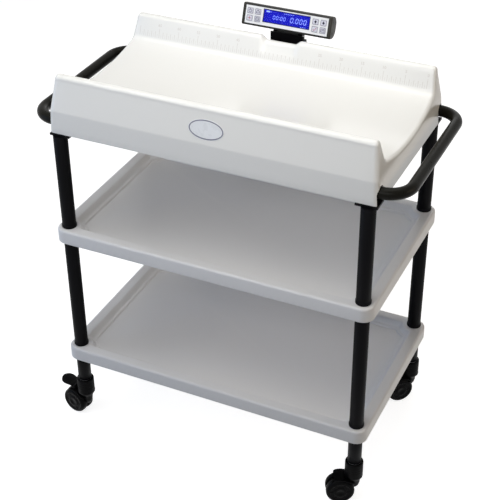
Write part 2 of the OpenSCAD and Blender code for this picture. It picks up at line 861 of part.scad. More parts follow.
// Half outline of a wheel: radius across, thickness up, its outer face at the top
module wheel_outline() {
    face_from = 15;
    face_w = 8;
    face_deep = 1.5;
    inner_edge = 2;
    difference() {
        union() {
            square([wheel_r - wheel_edge_r, wheel_t]);
            translate([0, inner_edge]) square([wheel_r, wheel_t - wheel_edge_r - inner_edge]);
            translate([wheel_r - inner_edge, inner_edge]) circle(inner_edge);
            square([wheel_r - inner_edge, inner_edge]);
            translate([wheel_r - wheel_edge_r, wheel_t - wheel_edge_r]) circle(wheel_edge_r);
        }
        translate([face_from, wheel_t - face_deep]) square([face_w, wheel_edge_r]);
        translate([-wheel_r, -wheel_r]) square([wheel_r, 3 * wheel_r]);
        translate([0, -CUT]) square([axle_r + run_clear, wheel_t - wheel_cap_t + CUT]);
    }
}

module wheel(side, end, turn, way) {
    color("#0f1012") at_caster(side, end, turn)
        translate([trail, way * wheel_y, wheel_r]) rotate([-90 * way, 0, 0])
            rotate_extrude() wheel_outline();
}

module brake_pedal(side, end, turn) {
    color("#17181b") at_caster(side, end, turn) {
        difference() {
            union() {
                cross_rod(pedal_x, pedal_z, pedal_hub_r, 2 * hub_half);
                translate([pedal_x, -hub_half, pedal_z - pedal_t / 2])
                    cube([pedal_hub_r + 2 * seat_gap + lug_t, 2 * hub_half, pedal_t]);
            }
            cross_rod(pedal_x, pedal_z, pedal_pin_d / 2 + run_clear, pedal_w);
        }
        translate([pedal_x, 0, pedal_z]) rotate([0, -pedal_tilt, 0])
            translate([pedal_hub_r + 2 * seat_gap, 0, -pedal_t / 2]) pedal_tread();
        for (y = [-1, 1])
            translate([pedal_x + tooth_x, y * tooth_y - tooth_w / 2, pedal_z - tooth_low])
                cube([tooth_l, tooth_w, tooth_low]);
    }
}

// The flat that a foot presses, with a round end
module pedal_tread() {
    tread_l = pedal_l - pedal_hub_r;
    linear_extrude(pedal_t) {
        translate([0, -pedal_half]) square([tread_l - pedal_end_r, pedal_w]);
        translate([tread_l - pedal_end_r, 0]) circle(pedal_end_r);
    }
}

// ---- Display neck --------------------------------------------------------------------

module display_neck() {
    tongue_from = rail_span_y / 2 - rail_w / 2;
    color("#131417") on_trolley() {
        translate([-neck_w / 2, tongue_from, plate_z]) cube([neck_w, neck_y - tongue_from + EPS, plate_t]);
        translate([-neck_w / 2, neck_y, plate_z]) difference() {
            cube([neck_w, neck_d, neck_top_z - plate_z]);
            translate([neck_wall, neck_wall, plate_t])
                cube([neck_w - 2 * neck_wall, neck_d - 2 * neck_wall, neck_top_z - plate_z - 2 * plate_t]);
        }
        translate([-neck_w / 2, neck_y, neck_top_z - EPS])
            cube([neck_w, neck_wall, shroud_z - neck_top_z]);
        for (way = [-1, 1]) difference() {
            translate([way * (ear_x + ear_t / 2), pin_y, 0]) {
                translate([0, 0, (neck_top_z - EPS + pin_z) / 2])
                    cube([ear_t, 2 * ear_r, pin_z - neck_top_z + EPS], center = true);
                translate([0, 0, pin_z]) rotate([0, 90, 0]) cylinder(r = ear_r, h = ear_t, center = true);
            }
            translate([0, pin_y, pin_z]) rotate([0, 90, 0])
                cylinder(r = pin_r, h = 2 * neck_w, center = true);
        }
    }
}

module tilt_pin() {
    color("#a4a6aa") on_trolley() translate([0, pin_y, pin_z]) rotate([0, 90, 0])
        cylinder(r = pin_r, h = 2 * (ear_x + ear_t), center = true);
}

// ---- Display head --------------------------------------------------------------------

// Section of the head: depth back from the face across, height up
module head_section(inset) {
    front_r = max(head_front_r - inset, 0.5);
    back_r = head_back_r - inset;
    back_x = head_d - head_back_r;
    for (v = [inset + front_r, head_h - inset - front_r]) translate([inset + front_r, v]) circle(front_r);
    for (v = [head_back_r, head_h - head_back_r]) translate([back_x, v]) circle(back_r);
    translate([inset, inset + front_r]) square([front_r, head_h - 2 * (inset + front_r)]);
    translate([inset + front_r, inset]) square([back_x - inset - front_r, head_h - 2 * inset]);
    translate([back_x, head_back_r]) square([back_r, head_h - 2 * head_back_r]);
}

// A block on the head: centre along X, centre up the face, depth from front to back
module face_block(x, v, w, h, front, back) {
    translate([x - w / 2, front, v - h / 2]) cube([w, back - front, h]);
}

module display_housing() {
    web = knuckle_d / 2 - knuckle_in;
    color("#1d1e20") on_head() difference() {
        union() {
            along_x(head_l) head_section(0);
            translate([0, pin_back, -pin_below]) rotate([0, 90, 0])
                cylinder(d = knuckle_d, h = knuckle_l, center = true);
            translate([-knuckle_l / 2, pin_back - web, -pin_below])
                cube([knuckle_l, 2 * web, pin_below + head_back_r]);
        }
        along_x(head_l + 2 * CUT) head_section(head_wall);
        face_block(0, face_mid, panel_l + seat_gap, panel_h + seat_gap, -CUT, head_wall + EPS);
        face_block(0, face_mid, panel_l + flange_room, panel_h + flange_room, head_wall,
                   panel_back + seat_gap);
        translate([0, pin_back, -pin_below]) rotate([0, 90, 0])
            cylinder(r = pin_r + run_clear, h = knuckle_l + 2 * CUT, center = true);
    }
}

module end_cap(way) {
    plug_inset = head_wall + seat_gap;
    color("#24231f") on_head() {
        translate([way * (head_l + cap_t) / 2, 0, 0]) along_x(cap_t) head_section(0);
        translate([way * (head_l - cap_plug + EPS) / 2, 0, 0]) difference() {
            along_x(cap_plug + EPS) head_section(plug_inset);
            along_x(cap_plug + 2 * CUT) head_section(plug_inset + head_wall);
            face_block(0, face_mid, 2 * cap_plug + CUT, head_h, -CUT, board_w + board_t + seat_gap);
        }
    }
}

module key_places() {
    for (v = key_rows, x = key_cols) translate([x, 0, v]) children();
}

module face_panel() {
    hole_l = window_l + 2 * key_clear;
    hole_h = window_h + 2 * key_clear;
    color("#e9eaee") on_head() difference() {
        union() {
            face_block(0, face_mid, panel_l, panel_h, 0, head_wall);
            face_block(0, face_mid, panel_l + 2 * panel_flange_w, panel_h + 2 * panel_flange_w,
                       head_wall, panel_back);
        }
        face_block(0, window_v, hole_l, hole_h, -CUT, panel_back + CUT);
        key_places() face_block(0, 0, key_w + 2 * key_clear, key_h + 2 * key_clear, -CUT, panel_back + CUT);
    }
}

module display_window() {
    color("#2436c8", 0.6) on_head()
        face_block(0, window_v, window_l, window_h, seat_gap, seat_gap + window_t);
}

module lcd_module() {
    front = seat_gap + window_t;
    color("#1a2bb0") on_head() {
        face_block(0, window_v, window_l - 2 * lcd_in, window_h - 2 * lcd_in, front, panel_back);
        face_block(0, window_v, window_l + 2 * lcd_out, window_h + 2 * lcd_out, panel_back - EPS, lcd_back);
    }
}

module circuit_board() {
    color("#1f5a38") on_head()
        face_block(0, face_mid, panel_l - 2 * board_in_x, panel_h - 2 * board_in_v,
                   board_w, board_w + board_t);
}

module key(number) {
    col = (number - 1) % 4;
    row = floor((number - 1) / 4);
    flange_back = key_flange_w + key_flange_t;
    stem_back = board_w - key_proud - key_clear;
    color("#c3c4d2") on_head() translate([key_cols[col], 0, key_rows[row]]) {
        face_block(0, 0, key_w, key_h, key_front, flange_back);
        face_block(0, 0, key_w + 2 * key_flange, key_h + 2 * key_flange, key_flange_w, flange_back);
        face_block(0, 0, key_w / 3, key_h / 3, flange_back - EPS, stem_back);
    }
}

upper_frame();
load_cell();
tray_carrier();
carrier_pads();
battery_pack();
weigh_tray();
handle(LEFT);  // handle_left
handle(RIGHT);  // handle_right
middle_shelf();
lower_shelf();
leg_top(LEFT, FRONT);  // leg_fl_top
leg_mid(LEFT, FRONT);  // leg_fl_mid
leg_foot(LEFT, FRONT);  // leg_fl_foot
leg_top(RIGHT, FRONT);  // leg_fr_top
leg_mid(RIGHT, FRONT);  // leg_fr_mid
leg_foot(RIGHT, FRONT);  // leg_fr_foot
leg_top(LEFT, BACK);  // leg_bl_top
leg_mid(LEFT, BACK);  // leg_bl_mid
leg_foot(LEFT, BACK);  // leg_bl_foot
leg_top(RIGHT, BACK);  // leg_br_top
leg_mid(RIGHT, BACK);  // leg_br_mid
leg_foot(RIGHT, BACK);  // leg_br_foot
leg_joiners();
caster_stems();
caster_housing(LEFT, FRONT, turn_fl, true);  // caster_housing_fl
caster_axle(LEFT, FRONT, turn_fl);  // caster_axle_fl
wheel(LEFT, FRONT, turn_fl, 1);  // wheel_fl_a
wheel(LEFT, FRONT, turn_fl, -1);  // wheel_fl_b
brake_pedal(LEFT, FRONT, turn_fl);  // brake_pedal_fl
caster_housing(RIGHT, FRONT, turn_fr, false);  // caster_housing_fr
caster_axle(RIGHT, FRONT, turn_fr);  // caster_axle_fr
wheel(RIGHT, FRONT, turn_fr, 1);  // wheel_fr_a
wheel(RIGHT, FRONT, turn_fr, -1);  // wheel_fr_b
caster_housing(LEFT, BACK, turn_bl, true);  // caster_housing_bl
caster_axle(LEFT, BACK, turn_bl);  // caster_axle_bl
wheel(LEFT, BACK, turn_bl, 1);  // wheel_bl_a
wheel(LEFT, BACK, turn_bl, -1);  // wheel_bl_b
brake_pedal(LEFT, BACK, turn_bl);  // brake_pedal_bl
caster_housing(RIGHT, BACK, turn_br, false);  // caster_housing_br
caster_axle(RIGHT, BACK, turn_br);  // caster_axle_br
wheel(RIGHT, BACK, turn_br, 1);  // wheel_br_a
wheel(RIGHT, BACK, turn_br, -1);  // wheel_br_b
display_neck();
tilt_pin();
display_housing();
end_cap(LEFT);  // end_cap_left
end_cap(RIGHT);  // end_cap_right
face_panel();
display_window();
lcd_module();
circuit_board();
key(1);  // key_1
key(2);  // key_2
key(3);  // key_3
key(4);  // key_4
key(5);  // key_5
key(6);  // key_6
key(7);  // key_7
key(8);  // key_8
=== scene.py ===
import math

import bmesh
import bpy
from mathutils import Matrix, Vector


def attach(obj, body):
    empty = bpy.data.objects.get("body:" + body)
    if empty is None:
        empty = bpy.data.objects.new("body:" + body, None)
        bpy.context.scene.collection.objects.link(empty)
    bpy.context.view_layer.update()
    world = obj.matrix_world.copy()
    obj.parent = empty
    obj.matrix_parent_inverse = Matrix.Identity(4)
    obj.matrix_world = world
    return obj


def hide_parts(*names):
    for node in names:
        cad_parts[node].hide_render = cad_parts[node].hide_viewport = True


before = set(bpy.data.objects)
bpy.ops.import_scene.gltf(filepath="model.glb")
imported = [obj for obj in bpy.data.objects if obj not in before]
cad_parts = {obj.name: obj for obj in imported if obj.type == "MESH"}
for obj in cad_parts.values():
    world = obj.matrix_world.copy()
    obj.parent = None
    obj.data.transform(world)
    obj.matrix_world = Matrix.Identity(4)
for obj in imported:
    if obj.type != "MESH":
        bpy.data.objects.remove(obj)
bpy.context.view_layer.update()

# Lengths below are in millimetres, measured from the middle of the trolley's four legs
# and from the floor. FRAME_Y is that middle's place in the shared frame.
MM = 0.001
FRAME_Y = 1.14

LEG_X, LEG_Y = 355.0, 200.0
LOWER_Z, MIDDLE_Z, PLATE_Z, TRAY_Z = 222.0, 559.0, 792.0, 799.0
PIN_Y, PIN_Z = 223.0, 920.0
HEAD_TILT = math.radians(19.0)
PIN_BACK, PIN_BELOW = 27.8, 8.0
CORNERS = {"fl": (-1, -1, 169.0, True), "fr": (1, -1, 207.0, False),
           "bl": (-1, 1, 194.0, True), "br": (1, 1, 225.0, False)}


def spot(x, y, z):
    return Vector((x * MM, (y + FRAME_Y) * MM, z * MM))


# ---- Mesh helpers ---------------------------------------------------------------------

def placed(name, data):
    """A new object in the scene."""
    made = bpy.data.objects.new(name, data)
    bpy.context.scene.collection.objects.link(made)
    return made


def shade(mesh, sharp):
    """Smooth faces, with edges sharper than an angle in degrees left hard."""
    mesh.polygons.foreach_set("use_smooth", [True] * len(mesh.polygons))
    mesh.set_sharp_from_angle(angle=math.radians(sharp))


def build(name, verts, faces, sharp=35.0, place=None):
    """Makes an object from points in millimetres; place moves a point before it is scaled."""
    points = [spot(*(place @ Vector(v) if place else v)) for v in verts]
    mesh = bpy.data.meshes.new(name)
    mesh.from_pydata(points, [], faces)
    mesh.validate()
    work = bmesh.new()
    work.from_mesh(mesh)
    bmesh.ops.remove_doubles(work, verts=work.verts, dist=1e-6)
    bmesh.ops.recalc_face_normals(work, faces=work.faces)
    work.to_mesh(mesh)
    work.free()
    shade(mesh, sharp)
    return placed(name, mesh)


def add_modifier(piece, kind, **settings):
    modifier = piece.modifiers.new(kind.title(), kind)
    for key, value in settings.items():
        setattr(modifier, key, value)
    return modifier


def bevel(piece, width, angle=30.0):
    add_modifier(piece, "BEVEL", width=width * MM, segments=2, limit_method="ANGLE",
                 angle_limit=math.radians(angle))


def bake(piece):
    """Turns the piece's modifiers into mesh."""
    graph = bpy.context.evaluated_depsgraph_get()
    graph.update()
    baked = bpy.data.meshes.new_from_object(piece.evaluated_get(graph))
    piece.modifiers.clear()
    piece.data = baked


def cut(piece, cutters, solver="EXACT"):
    """Takes the cutters out of the piece and deletes them."""
    for cutter in cutters:
        add_modifier(piece, "BOOLEAN", object=cutter, operation="DIFFERENCE", solver=solver)
    bake(piece)
    for cutter in cutters:
        bpy.data.objects.remove(cutter)


def merged(name, pieces, sharp=40.0):
    """One object from several, each with its modifiers baked."""
    work = bmesh.new()
    for piece in pieces:
        bake(piece)
        piece.data.transform(piece.matrix_world)
        work.from_mesh(piece.data)
        bpy.data.objects.remove(piece)
    mesh = bpy.data.meshes.new(name)
    work.to_mesh(mesh)
    work.free()
    shade(mesh, sharp)
    return placed(name, mesh)


def ring_faces(rings, count, closed=True):
    """Quads between rings of count points each, laid one after another."""
    faces = []
    for r in range(rings - 1):
        for k in range(count if closed else count - 1):
            a, b = r * count + k, r * count + (k + 1) % count
            faces.append((a, b, b + count, a + count))
    return faces


def lathe(name, profile, steps=48, place=None, sharp=35.0):
    """A solid of revolution about Z from points (radius, height)."""
    verts = []
    for r, z in profile:
        for k in range(steps):
            a = 2 * math.pi * k / steps
            verts.append((r * math.cos(a), r * math.sin(a), z))
    faces = ring_faces(len(profile), steps)
    if profile[0][0] > 0.01:
        faces.append(tuple(range(steps)))
    if profile[-1][0] > 0.01:
        faces.append(tuple(range((len(profile) - 1) * steps, len(profile) * steps)))
    return build(name, verts, faces, sharp, place)


def loft(name, rings, place=None, sharp=35.0):
    """A closed skin over rings of points, capped at both ends."""
    count = len(rings[0])
    faces = ring_faces(len(rings), count)
    faces.append(tuple(range(count)))
    faces.append(tuple(range((len(rings) - 1) * count, len(rings) * count)))
    return build(name, [p for ring in rings for p in ring], faces, sharp, place)


def block(name, size, centre, place=None, edge=0.4):
    x, y, z = (s / 2 for s in size)
    cx, cy, cz = centre
    signs = [(i, j, k) for i in (-1, 1) for j in (-1, 1) for k in (-1, 1)]
    verts = [(cx + i * x, cy + j * y, cz + k * z) for i, j, k in signs]
    faces = [(0, 1, 3, 2), (4, 6, 7, 5), (0, 4, 5, 1), (2, 3, 7, 6), (0, 2, 6, 4), (1, 5, 7, 3)]
    piece = build(name, verts, faces, place=place)
    if edge:
        bevel(piece, edge)
    return piece


def slab(name, outline, low, high, place, edge):
    """A flat outline in X and Z, from depth low to depth high along Y."""
    count = len(outline)
    verts = [(x, low, z) for x, z in outline] + [(x, high, z) for x, z in outline]
    faces = ring_faces(2, count) + [tuple(range(count)), tuple(range(count, 2 * count))]
    piece = build(name, verts, faces, place=place)
    bevel(piece, edge, angle=50.0)
    return piece


def quarter(axis, way=1):
    """A quarter turn about an axis."""
    return Matrix.Rotation(way * math.pi / 2, 4, axis)


def arc(cx, cy, r, start, stop, steps):
    """Points on an arc, in degrees, both ends included."""
    out = []
    for k in range(steps + 1):
        a = math.radians(start + (stop - start) * k / steps)
        out.append((cx + r * math.cos(a), cy + r * math.sin(a)))
    return out


def ease(t):
    t = min(max(t, 0.0), 1.0)
    return t * t * (3 - 2 * t)


# ---- Materials ------------------------------------------------------------------------

def new_material(name):
    material = bpy.data.materials.new(name)
    material.use_nodes = True
    tree = material.node_tree
    return material, tree, tree.nodes["Principled BSDF"]


def node(tree, kind, **values):
    made = tree.nodes.new(kind)
    for key, value in values.items():
        if key in made.inputs:
            made.inputs[key].default_value = value
        else:
            setattr(made, key, value)
    return made


def noise(tree, scale, detail=2.0):
    coords = node(tree, "ShaderNodeTexCoord")
    made = node(tree, "ShaderNodeTexNoise", Scale=scale, Detail=detail)
    tree.links.new(coords.outputs["Object"], made.inputs["Vector"])
    return made


def ramp(tree, source, low, high, start=0.35, stop=0.65):
    made = node(tree, "ShaderNodeValToRGB")
    made.color_ramp.elements[0].position = start
    made.color_ramp.elements[1].position = stop
    made.color_ramp.elements[0].color = low
    made.color_ramp.elements[1].color = high
    tree.links.new(source, made.inputs["Fac"])
    return made


def grey(value):
    return (value, value, value, 1.0)


def shaded(colour, share=1.0):
    return tuple(c * share for c in colour) + (1.0,)


def surface(name, colour, rough, spread, grain, bump, tint, level=0.5, patch=14.0, coat=0.0):
    """A moulded or painted surface: faint colour drift, uneven gloss and a fine grain."""
    material, tree, shader = new_material(name)
    link = tree.links.new
    broad = noise(tree, patch, 3.0)
    drift = ramp(tree, broad.outputs["Fac"], shaded(colour, 1 - tint), shaded(colour), 0.25, 0.75)
    link(drift.outputs["Color"], shader.inputs["Base Color"])
    middle = noise(tree, patch * 6, 4.0)
    gloss = ramp(tree, middle.outputs["Fac"], grey(rough - spread), grey(rough + spread), 0.2, 0.8)
    link(gloss.outputs["Color"], shader.inputs["Roughness"])
    fine = noise(tree, grain)
    raised = node(tree, "ShaderNodeBump", Strength=bump, Distance=0.001)
    link(fine.outputs["Fac"], raised.inputs["Height"])
    link(raised.outputs["Normal"], shader.inputs["Normal"])
    shader.inputs["Coat Weight"].default_value = coat
    shader.inputs["Coat Roughness"].default_value = 0.12
    shader.inputs["Specular IOR Level"].default_value = level
    return material


def brushed(name, colour, rough):
    """Bare metal with fine lines across it."""
    material, tree, shader = new_material(name)
    link = tree.links.new
    coords = node(tree, "ShaderNodeTexCoord")
    stretch = node(tree, "ShaderNodeMapping")
    stretch.inputs["Scale"].default_value = (40.0, 900.0, 900.0)
    link(coords.outputs["Object"], stretch.inputs["Vector"])
    lines = node(tree, "ShaderNodeTexNoise", Scale=1.0, Detail=4.0)
    link(stretch.outputs["Vector"], lines.inputs["Vector"])
    tone = ramp(tree, lines.outputs["Fac"], shaded(colour, 0.8), shaded(colour))
    link(tone.outputs["Color"], shader.inputs["Base Color"])
    gloss = ramp(tree, lines.outputs["Fac"], grey(rough - 0.08), grey(rough + 0.1))
    link(gloss.outputs["Color"], shader.inputs["Roughness"])
    shader.inputs["Metallic"].default_value = 1.0
    return material


def glowing(name, colour, strength):
    """A lit display layer, slightly uneven."""
    material, tree, shader = new_material(name)
    link = tree.links.new
    broad = noise(tree, 60.0)
    tone = ramp(tree, broad.outputs["Fac"], shaded(colour, 0.86), shaded(colour))
    link(tone.outputs["Color"], shader.inputs["Base Color"])
    link(tone.outputs["Color"], shader.inputs["Emission Color"])
    shader.inputs["Emission Strength"].default_value = strength
    shader.inputs["Specular IOR Level"].default_value = 0.1
    shader.inputs["Roughness"].default_value = 0.3
    return material


# Colour, roughness and its spread, grain, bump and colour drift of each finish
TRAY = surface("tray_gloss_white", (0.80, 0.80, 0.79), 0.25, 0.015, 900.0, 0.01, 0.012,
               patch=2.5, coat=0.25)
SHELF = surface("shelf_gloss_white", (0.77, 0.77, 0.79), 0.34, 0.02, 900.0, 0.012, 0.012, 0.32, 2.5)
BLACK = surface("black_powder_paint", (0.003, 0.003, 0.004), 0.42, 0.05, 1500.0, 0.1, 0.25, 0.06)
HANDLE = surface("handle_powder_paint", (0.006, 0.0055, 0.0035), 0.3, 0.05, 1500.0, 0.12, 0.25,
                 0.07)
NYLON = surface("black_nylon", (0.002, 0.002, 0.0025), 0.38, 0.06, 1200.0, 0.08, 0.3, 0.045)
WHEEL = surface("wheel_black", (0.002, 0.002, 0.0025), 0.28, 0.06, 900.0, 0.05, 0.3, 0.045)
HEAD = surface("head_dark_grey", (0.016, 0.016, 0.015), 0.42, 0.06, 1600.0, 0.12, 0.2, 0.22)
CAP = surface("cap_dark_grey", (0.024, 0.022, 0.017), 0.40, 0.06, 1600.0, 0.12, 0.2, 0.22)
PANEL = surface("panel_white", (0.80, 0.81, 0.84), 0.30, 0.03, 1200.0, 0.02, 0.02)
KEY = surface("key_lilac", (0.60, 0.60, 0.70), 0.40, 0.04, 1400.0, 0.05, 0.05)
INK = surface("ink_dark", (0.030, 0.030, 0.060), 0.5, 0.05, 1400.0, 0.02, 0.1, 0.2)
RED_INK = surface("ink_red", (0.40, 0.05, 0.09), 0.5, 0.05, 1400.0, 0.02, 0.1, 0.2)
SCALE_INK = surface("scale_ink_grey", (0.60, 0.57, 0.55), 0.45, 0.05, 900.0, 0.02, 0.08)
RING_INK = surface("ink_slate", (0.20, 0.20, 0.27), 0.4, 0.05, 900.0, 0.02, 0.1)
LABEL = surface("label_pale", (0.80, 0.82, 0.86), 0.28, 0.03, 900.0, 0.02, 0.02)
RUBBER = surface("pad_rubber", (0.02, 0.02, 0.02), 0.75, 0.1, 1800.0, 0.2, 0.2, 0.2)
BOARD = surface("board_green", (0.02, 0.13, 0.06), 0.45, 0.05, 300.0, 0.1, 0.3)
STEEL = brushed("bare_steel", (0.55, 0.56, 0.58), 0.3)
ALLOY = brushed("brushed_alloy", (0.70, 0.71, 0.73), 0.35)
LCD = glowing("lcd_blue", (0.003, 0.005, 0.36), 0.34)
LCD_EDGE = glowing("lcd_edge_navy", (0.004, 0.006, 0.10), 0.2)
SEGMENT = glowing("lcd_segments", (0.26, 0.36, 1.0), 0.4)


def window_material():
    material, tree, shader = new_material("window_clear")
    smear = noise(tree, 30.0, 3.0)
    gloss = ramp(tree, smear.outputs["Fac"], grey(0.03), grey(0.09))
    tree.links.new(gloss.outputs["Color"], shader.inputs["Roughness"])
    shader.inputs["Base Color"].default_value = (0.9, 0.92, 1.0, 1.0)
    shader.inputs["Transmission Weight"].default_value = 1.0
    shader.inputs["IOR"].default_value = 1.15
    return material


WINDOW = window_material()


def finish(piece, material, body, replaces=()):
    piece.data.materials.clear()
    piece.data.materials.append(material)
    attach(piece, body)
    if replaces:
        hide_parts(*replaces)
    return piece


def dress(material, *names):
    """Gives CAD nodes that stay a finished material."""
    for name in names:
        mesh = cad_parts[name].data
        for index in range(max(len(mesh.materials), 1)):
            if index < len(mesh.materials):
                mesh.materials[index] = material
            else:
                mesh.materials.append(material)


# ---- Weighing tray --------------------------------------------------------------------

CREASE_Z, DISH_R = 53.0, 515.0
DISH_Z = CREASE_Z + DISH_R
FOOT_Y, FOOT_Z, FOOT_R = 137.342, 92.435, 20.0
CREST_Y, CREST_Z, CREST_R = 180.0, 119.0, 11.0
WALL_HIGH, WALL_LOW, SKIRT_Y = (191.2, 116.8), (207.7, 55.6), 208.5
END_ROLL, CREST_ROLL, WALL_ROLL, CORNER_ROLL = 8.0, 7.0, 8.2, 12.0
LEAN = math.radians(20.0)
DISH_TURN = math.acos(DISH_R / (DISH_R + END_ROLL))


def tray_end(z):
    """Half the tray's length at a height above its bottom edge."""
    if z < CREASE_Z:
        return 378.0 - 5.0 * z / CREASE_Z
    return 373.0 - 11.0 * (z - CREASE_Z) / 77.0


def tray_half_profile():
    """Points (y, z, roll radius) from the floor's middle out to the bottom edge."""
    points = []
    foot = math.degrees(math.asin(FOOT_Y / (DISH_R - FOOT_R)))
    for angle in [0, 2, 4, 6, 8, math.degrees(DISH_TURN), 11.5, 13, 14.5, foot]:
        a = math.radians(angle)
        points.append((DISH_R * math.sin(a), DISH_Z - DISH_R * math.cos(a), END_ROLL))
    for y, z in arc(FOOT_Y, FOOT_Z, FOOT_R, foot - 90, -20, 8)[1:]:
        points.append((y, z, END_ROLL))
    wall_y, wall_z = FOOT_Y + FOOT_R * math.cos(LEAN), FOOT_Z - FOOT_R * math.sin(LEAN)
    top_y, top_z = CREST_Y - CREST_R * math.cos(LEAN), CREST_Z + CREST_R * math.sin(LEAN)
    for t in (0.25, 0.5, 0.75):
        points.append((wall_y + (top_y - wall_y) * t, wall_z + (top_z - wall_z) * t, END_ROLL))
    for y, z in arc(CREST_Y, CREST_Z, CREST_R, 160, 16, 14):
        points.append((y, z, CREST_ROLL))
    points += [(190.6, 119.6, 7.6), (*WALL_HIGH, WALL_ROLL)]
    for t in (0.25, 0.5, 0.75):
        y, z = (high + (low - high) * t for high, low in zip(WALL_HIGH, WALL_LOW))
        points.append((y, z, WALL_ROLL + (CORNER_ROLL - WALL_ROLL) * t))
    points.append((*WALL_LOW, CORNER_ROLL))
    points += [(SKIRT_Y, z, CORNER_ROLL) for z in (CREASE_Z, 50.0, 34.0, 17.0, 1.0)]
    return points + [(SKIRT_Y - 0.3, 0.0, CORNER_ROLL)]


def tray_normals(points):
    """Outward direction at each point, level where the end must keep its height."""
    out = []
    for k, (y, z, _) in enumerate(points):
        before, after = points[max(k - 1, 0)], points[min(k + 1, len(points) - 1)]
        across = Vector((before[1] - after[1], after[0] - before[0])).normalized()
        if abs(y) > 205 and z <= CREASE_Z:
            across = Vector((math.copysign(1, y), 0))
        out.append(across)
    return out


DIP_HALF = 52.0


def dip_depth(x):
    """How far the back wall's crest dips in its middle, where the neck stands."""
    return 10.0 * (1 - ease((abs(x) - 33.0) / 17.0))


def make_tray():
    half = tray_half_profile()
    points = [(-y, z, r) for y, z, r in reversed(half)] + half[1:]
    normals = tray_normals(points)
    fixed = [0, 12, 24, 33, 36, 39, 42, 45, 48, 51, 90, 150, 210, 270, 320]
    roll = [0, 12, 24, 36, 48, 60, 75, 90]
    columns = [("x", -x) for x in reversed(fixed[1:])] + [("x", x) for x in fixed]
    columns = [("end", -a, -1) for a in reversed(roll)] + columns + [("end", a, 1) for a in roll]
    verts = []
    for column in columns:
        for (y, z, r), normal in zip(points, normals):
            if column[0] == "x":
                drop = dip_depth(column[1]) * ease((z - 88.0) / 30.0) if y > 100 else 0.0
                verts.append((column[1], y, TRAY_Z + z - drop))
                continue
            a = math.radians(abs(column[1]))
            inward = r * (1 - math.cos(a))
            py, pz = y - normal.x * inward, z - normal.y * inward
            x = tray_end(pz) - r * (1 - math.sin(a))
            verts.append((column[2] * x, py, TRAY_Z + pz))
    count = len(points)
    faces = ring_faces(len(columns), count, closed=False)
    crease = [k for k, (y, z, _) in enumerate(points) if z == CREASE_Z and abs(y) > 200]
    turn_y = DISH_R * math.sin(DISH_TURN)
    line = [k for k, (y, z, _) in enumerate(points) if abs(abs(y) - turn_y) < 1e-6]
    for base in (0, (len(columns) - 1) * count):
        low = list(range(0, crease[0] + 1)) + list(range(line[0], line[1] + 1))
        low += list(range(crease[1], count))
        faces.append(tuple(base + k for k in low))
        faces.append(tuple(base + k for k in range(crease[0], line[0] + 1)))
        faces.append(tuple(base + k for k in range(line[1], crease[1] + 1)))
    tray = build("weighing_tray", verts, faces, 50.0)
    if not faces_up(tray):
        tray.data.flip_normals()
    add_modifier(tray, "SOLIDIFY", thickness=4.0 * MM, offset=-1.0, use_even_offset=True)
    cutters = []
    for side in (-1, 1):
        for end in (-1, 1):
            outline = [(-15.5, -5.0), (15.5, -5.0)] + arc(0, 23.0, 15.5, 0, 180, 16)
            ring = [(end * 190.0 + y, TRAY_Z + z) for y, z in outline]
            rings = [[(side * x, y, z) for y, z in ring] for x in (352.0, 395.0)]
            cutters.append(loft("notch_cutter", rings))
    cut(tray, cutters, "MANIFOLD")
    bosses = []
    for x in (-220.0, 220.0):
        for y in (-90.0, 90.0):
            place = Matrix.Translation((x, y, TRAY_Z))
            bosses.append(lathe("boss", [(7.0, 49.5), (12.0, 49.0), (12.4, 58.0)], 32, place))
    tray = merged("weighing_tray", [tray] + bosses, 50.0)
    return finish(tray, TRAY, "tray", ["weigh_tray"])


def faces_up(piece):
    """Whether the faces in the middle of the tray's floor look up."""
    for face in piece.data.polygons:
        c = face.center
        if abs(c.x) < 0.03 and abs(c.y) < 0.03:
            return face.normal.z > 0
    return True


def wall_point(x, height, lift=0.12):
    """A point just in front of the back wall's inner face, height above the bottom edge."""
    base_y, base_z = FOOT_Y + FOOT_R * math.cos(LEAN), FOOT_Z - FOOT_R * math.sin(LEAN)
    y = base_y + (height - base_z) * math.tan(LEAN)
    return (x, y - lift * math.cos(LEAN), TRAY_Z + height + lift * math.sin(LEAN))


def text_outline(words, size, centre, right, up):
    """Mesh points of a line of text, centred, lying in the plane of right and up."""
    curve = bpy.data.curves.new("words", "FONT")
    curve.body = words
    curve.size = size
    curve.align_x = "CENTER"
    curve.align_y = "CENTER"
    curve.resolution_u = 3
    holder = placed("words", curve)
    graph = bpy.context.evaluated_depsgraph_get()
    graph.update()
    mesh = bpy.data.meshes.new_from_object(holder.evaluated_get(graph))
    verts = [tuple(Vector(centre) + right * v.co.x + up * v.co.y) for v in mesh.vertices]
    faces = [tuple(p.vertices) for p in mesh.polygons]
    bpy.data.objects.remove(holder)
    return verts, faces


def flat_print(name, parts, material, body):
    """One thin printed piece from several flat outlines."""
    verts, faces = [], []
    for part_verts, part_faces in parts:
        base = len(verts)
        verts += part_verts
        faces += [tuple(base + k for k in face) for face in part_faces]
    mesh = bpy.data.meshes.new(name)
    mesh.from_pydata([spot(*v) for v in verts], [], faces)
    return finish(placed(name, mesh), material, body)


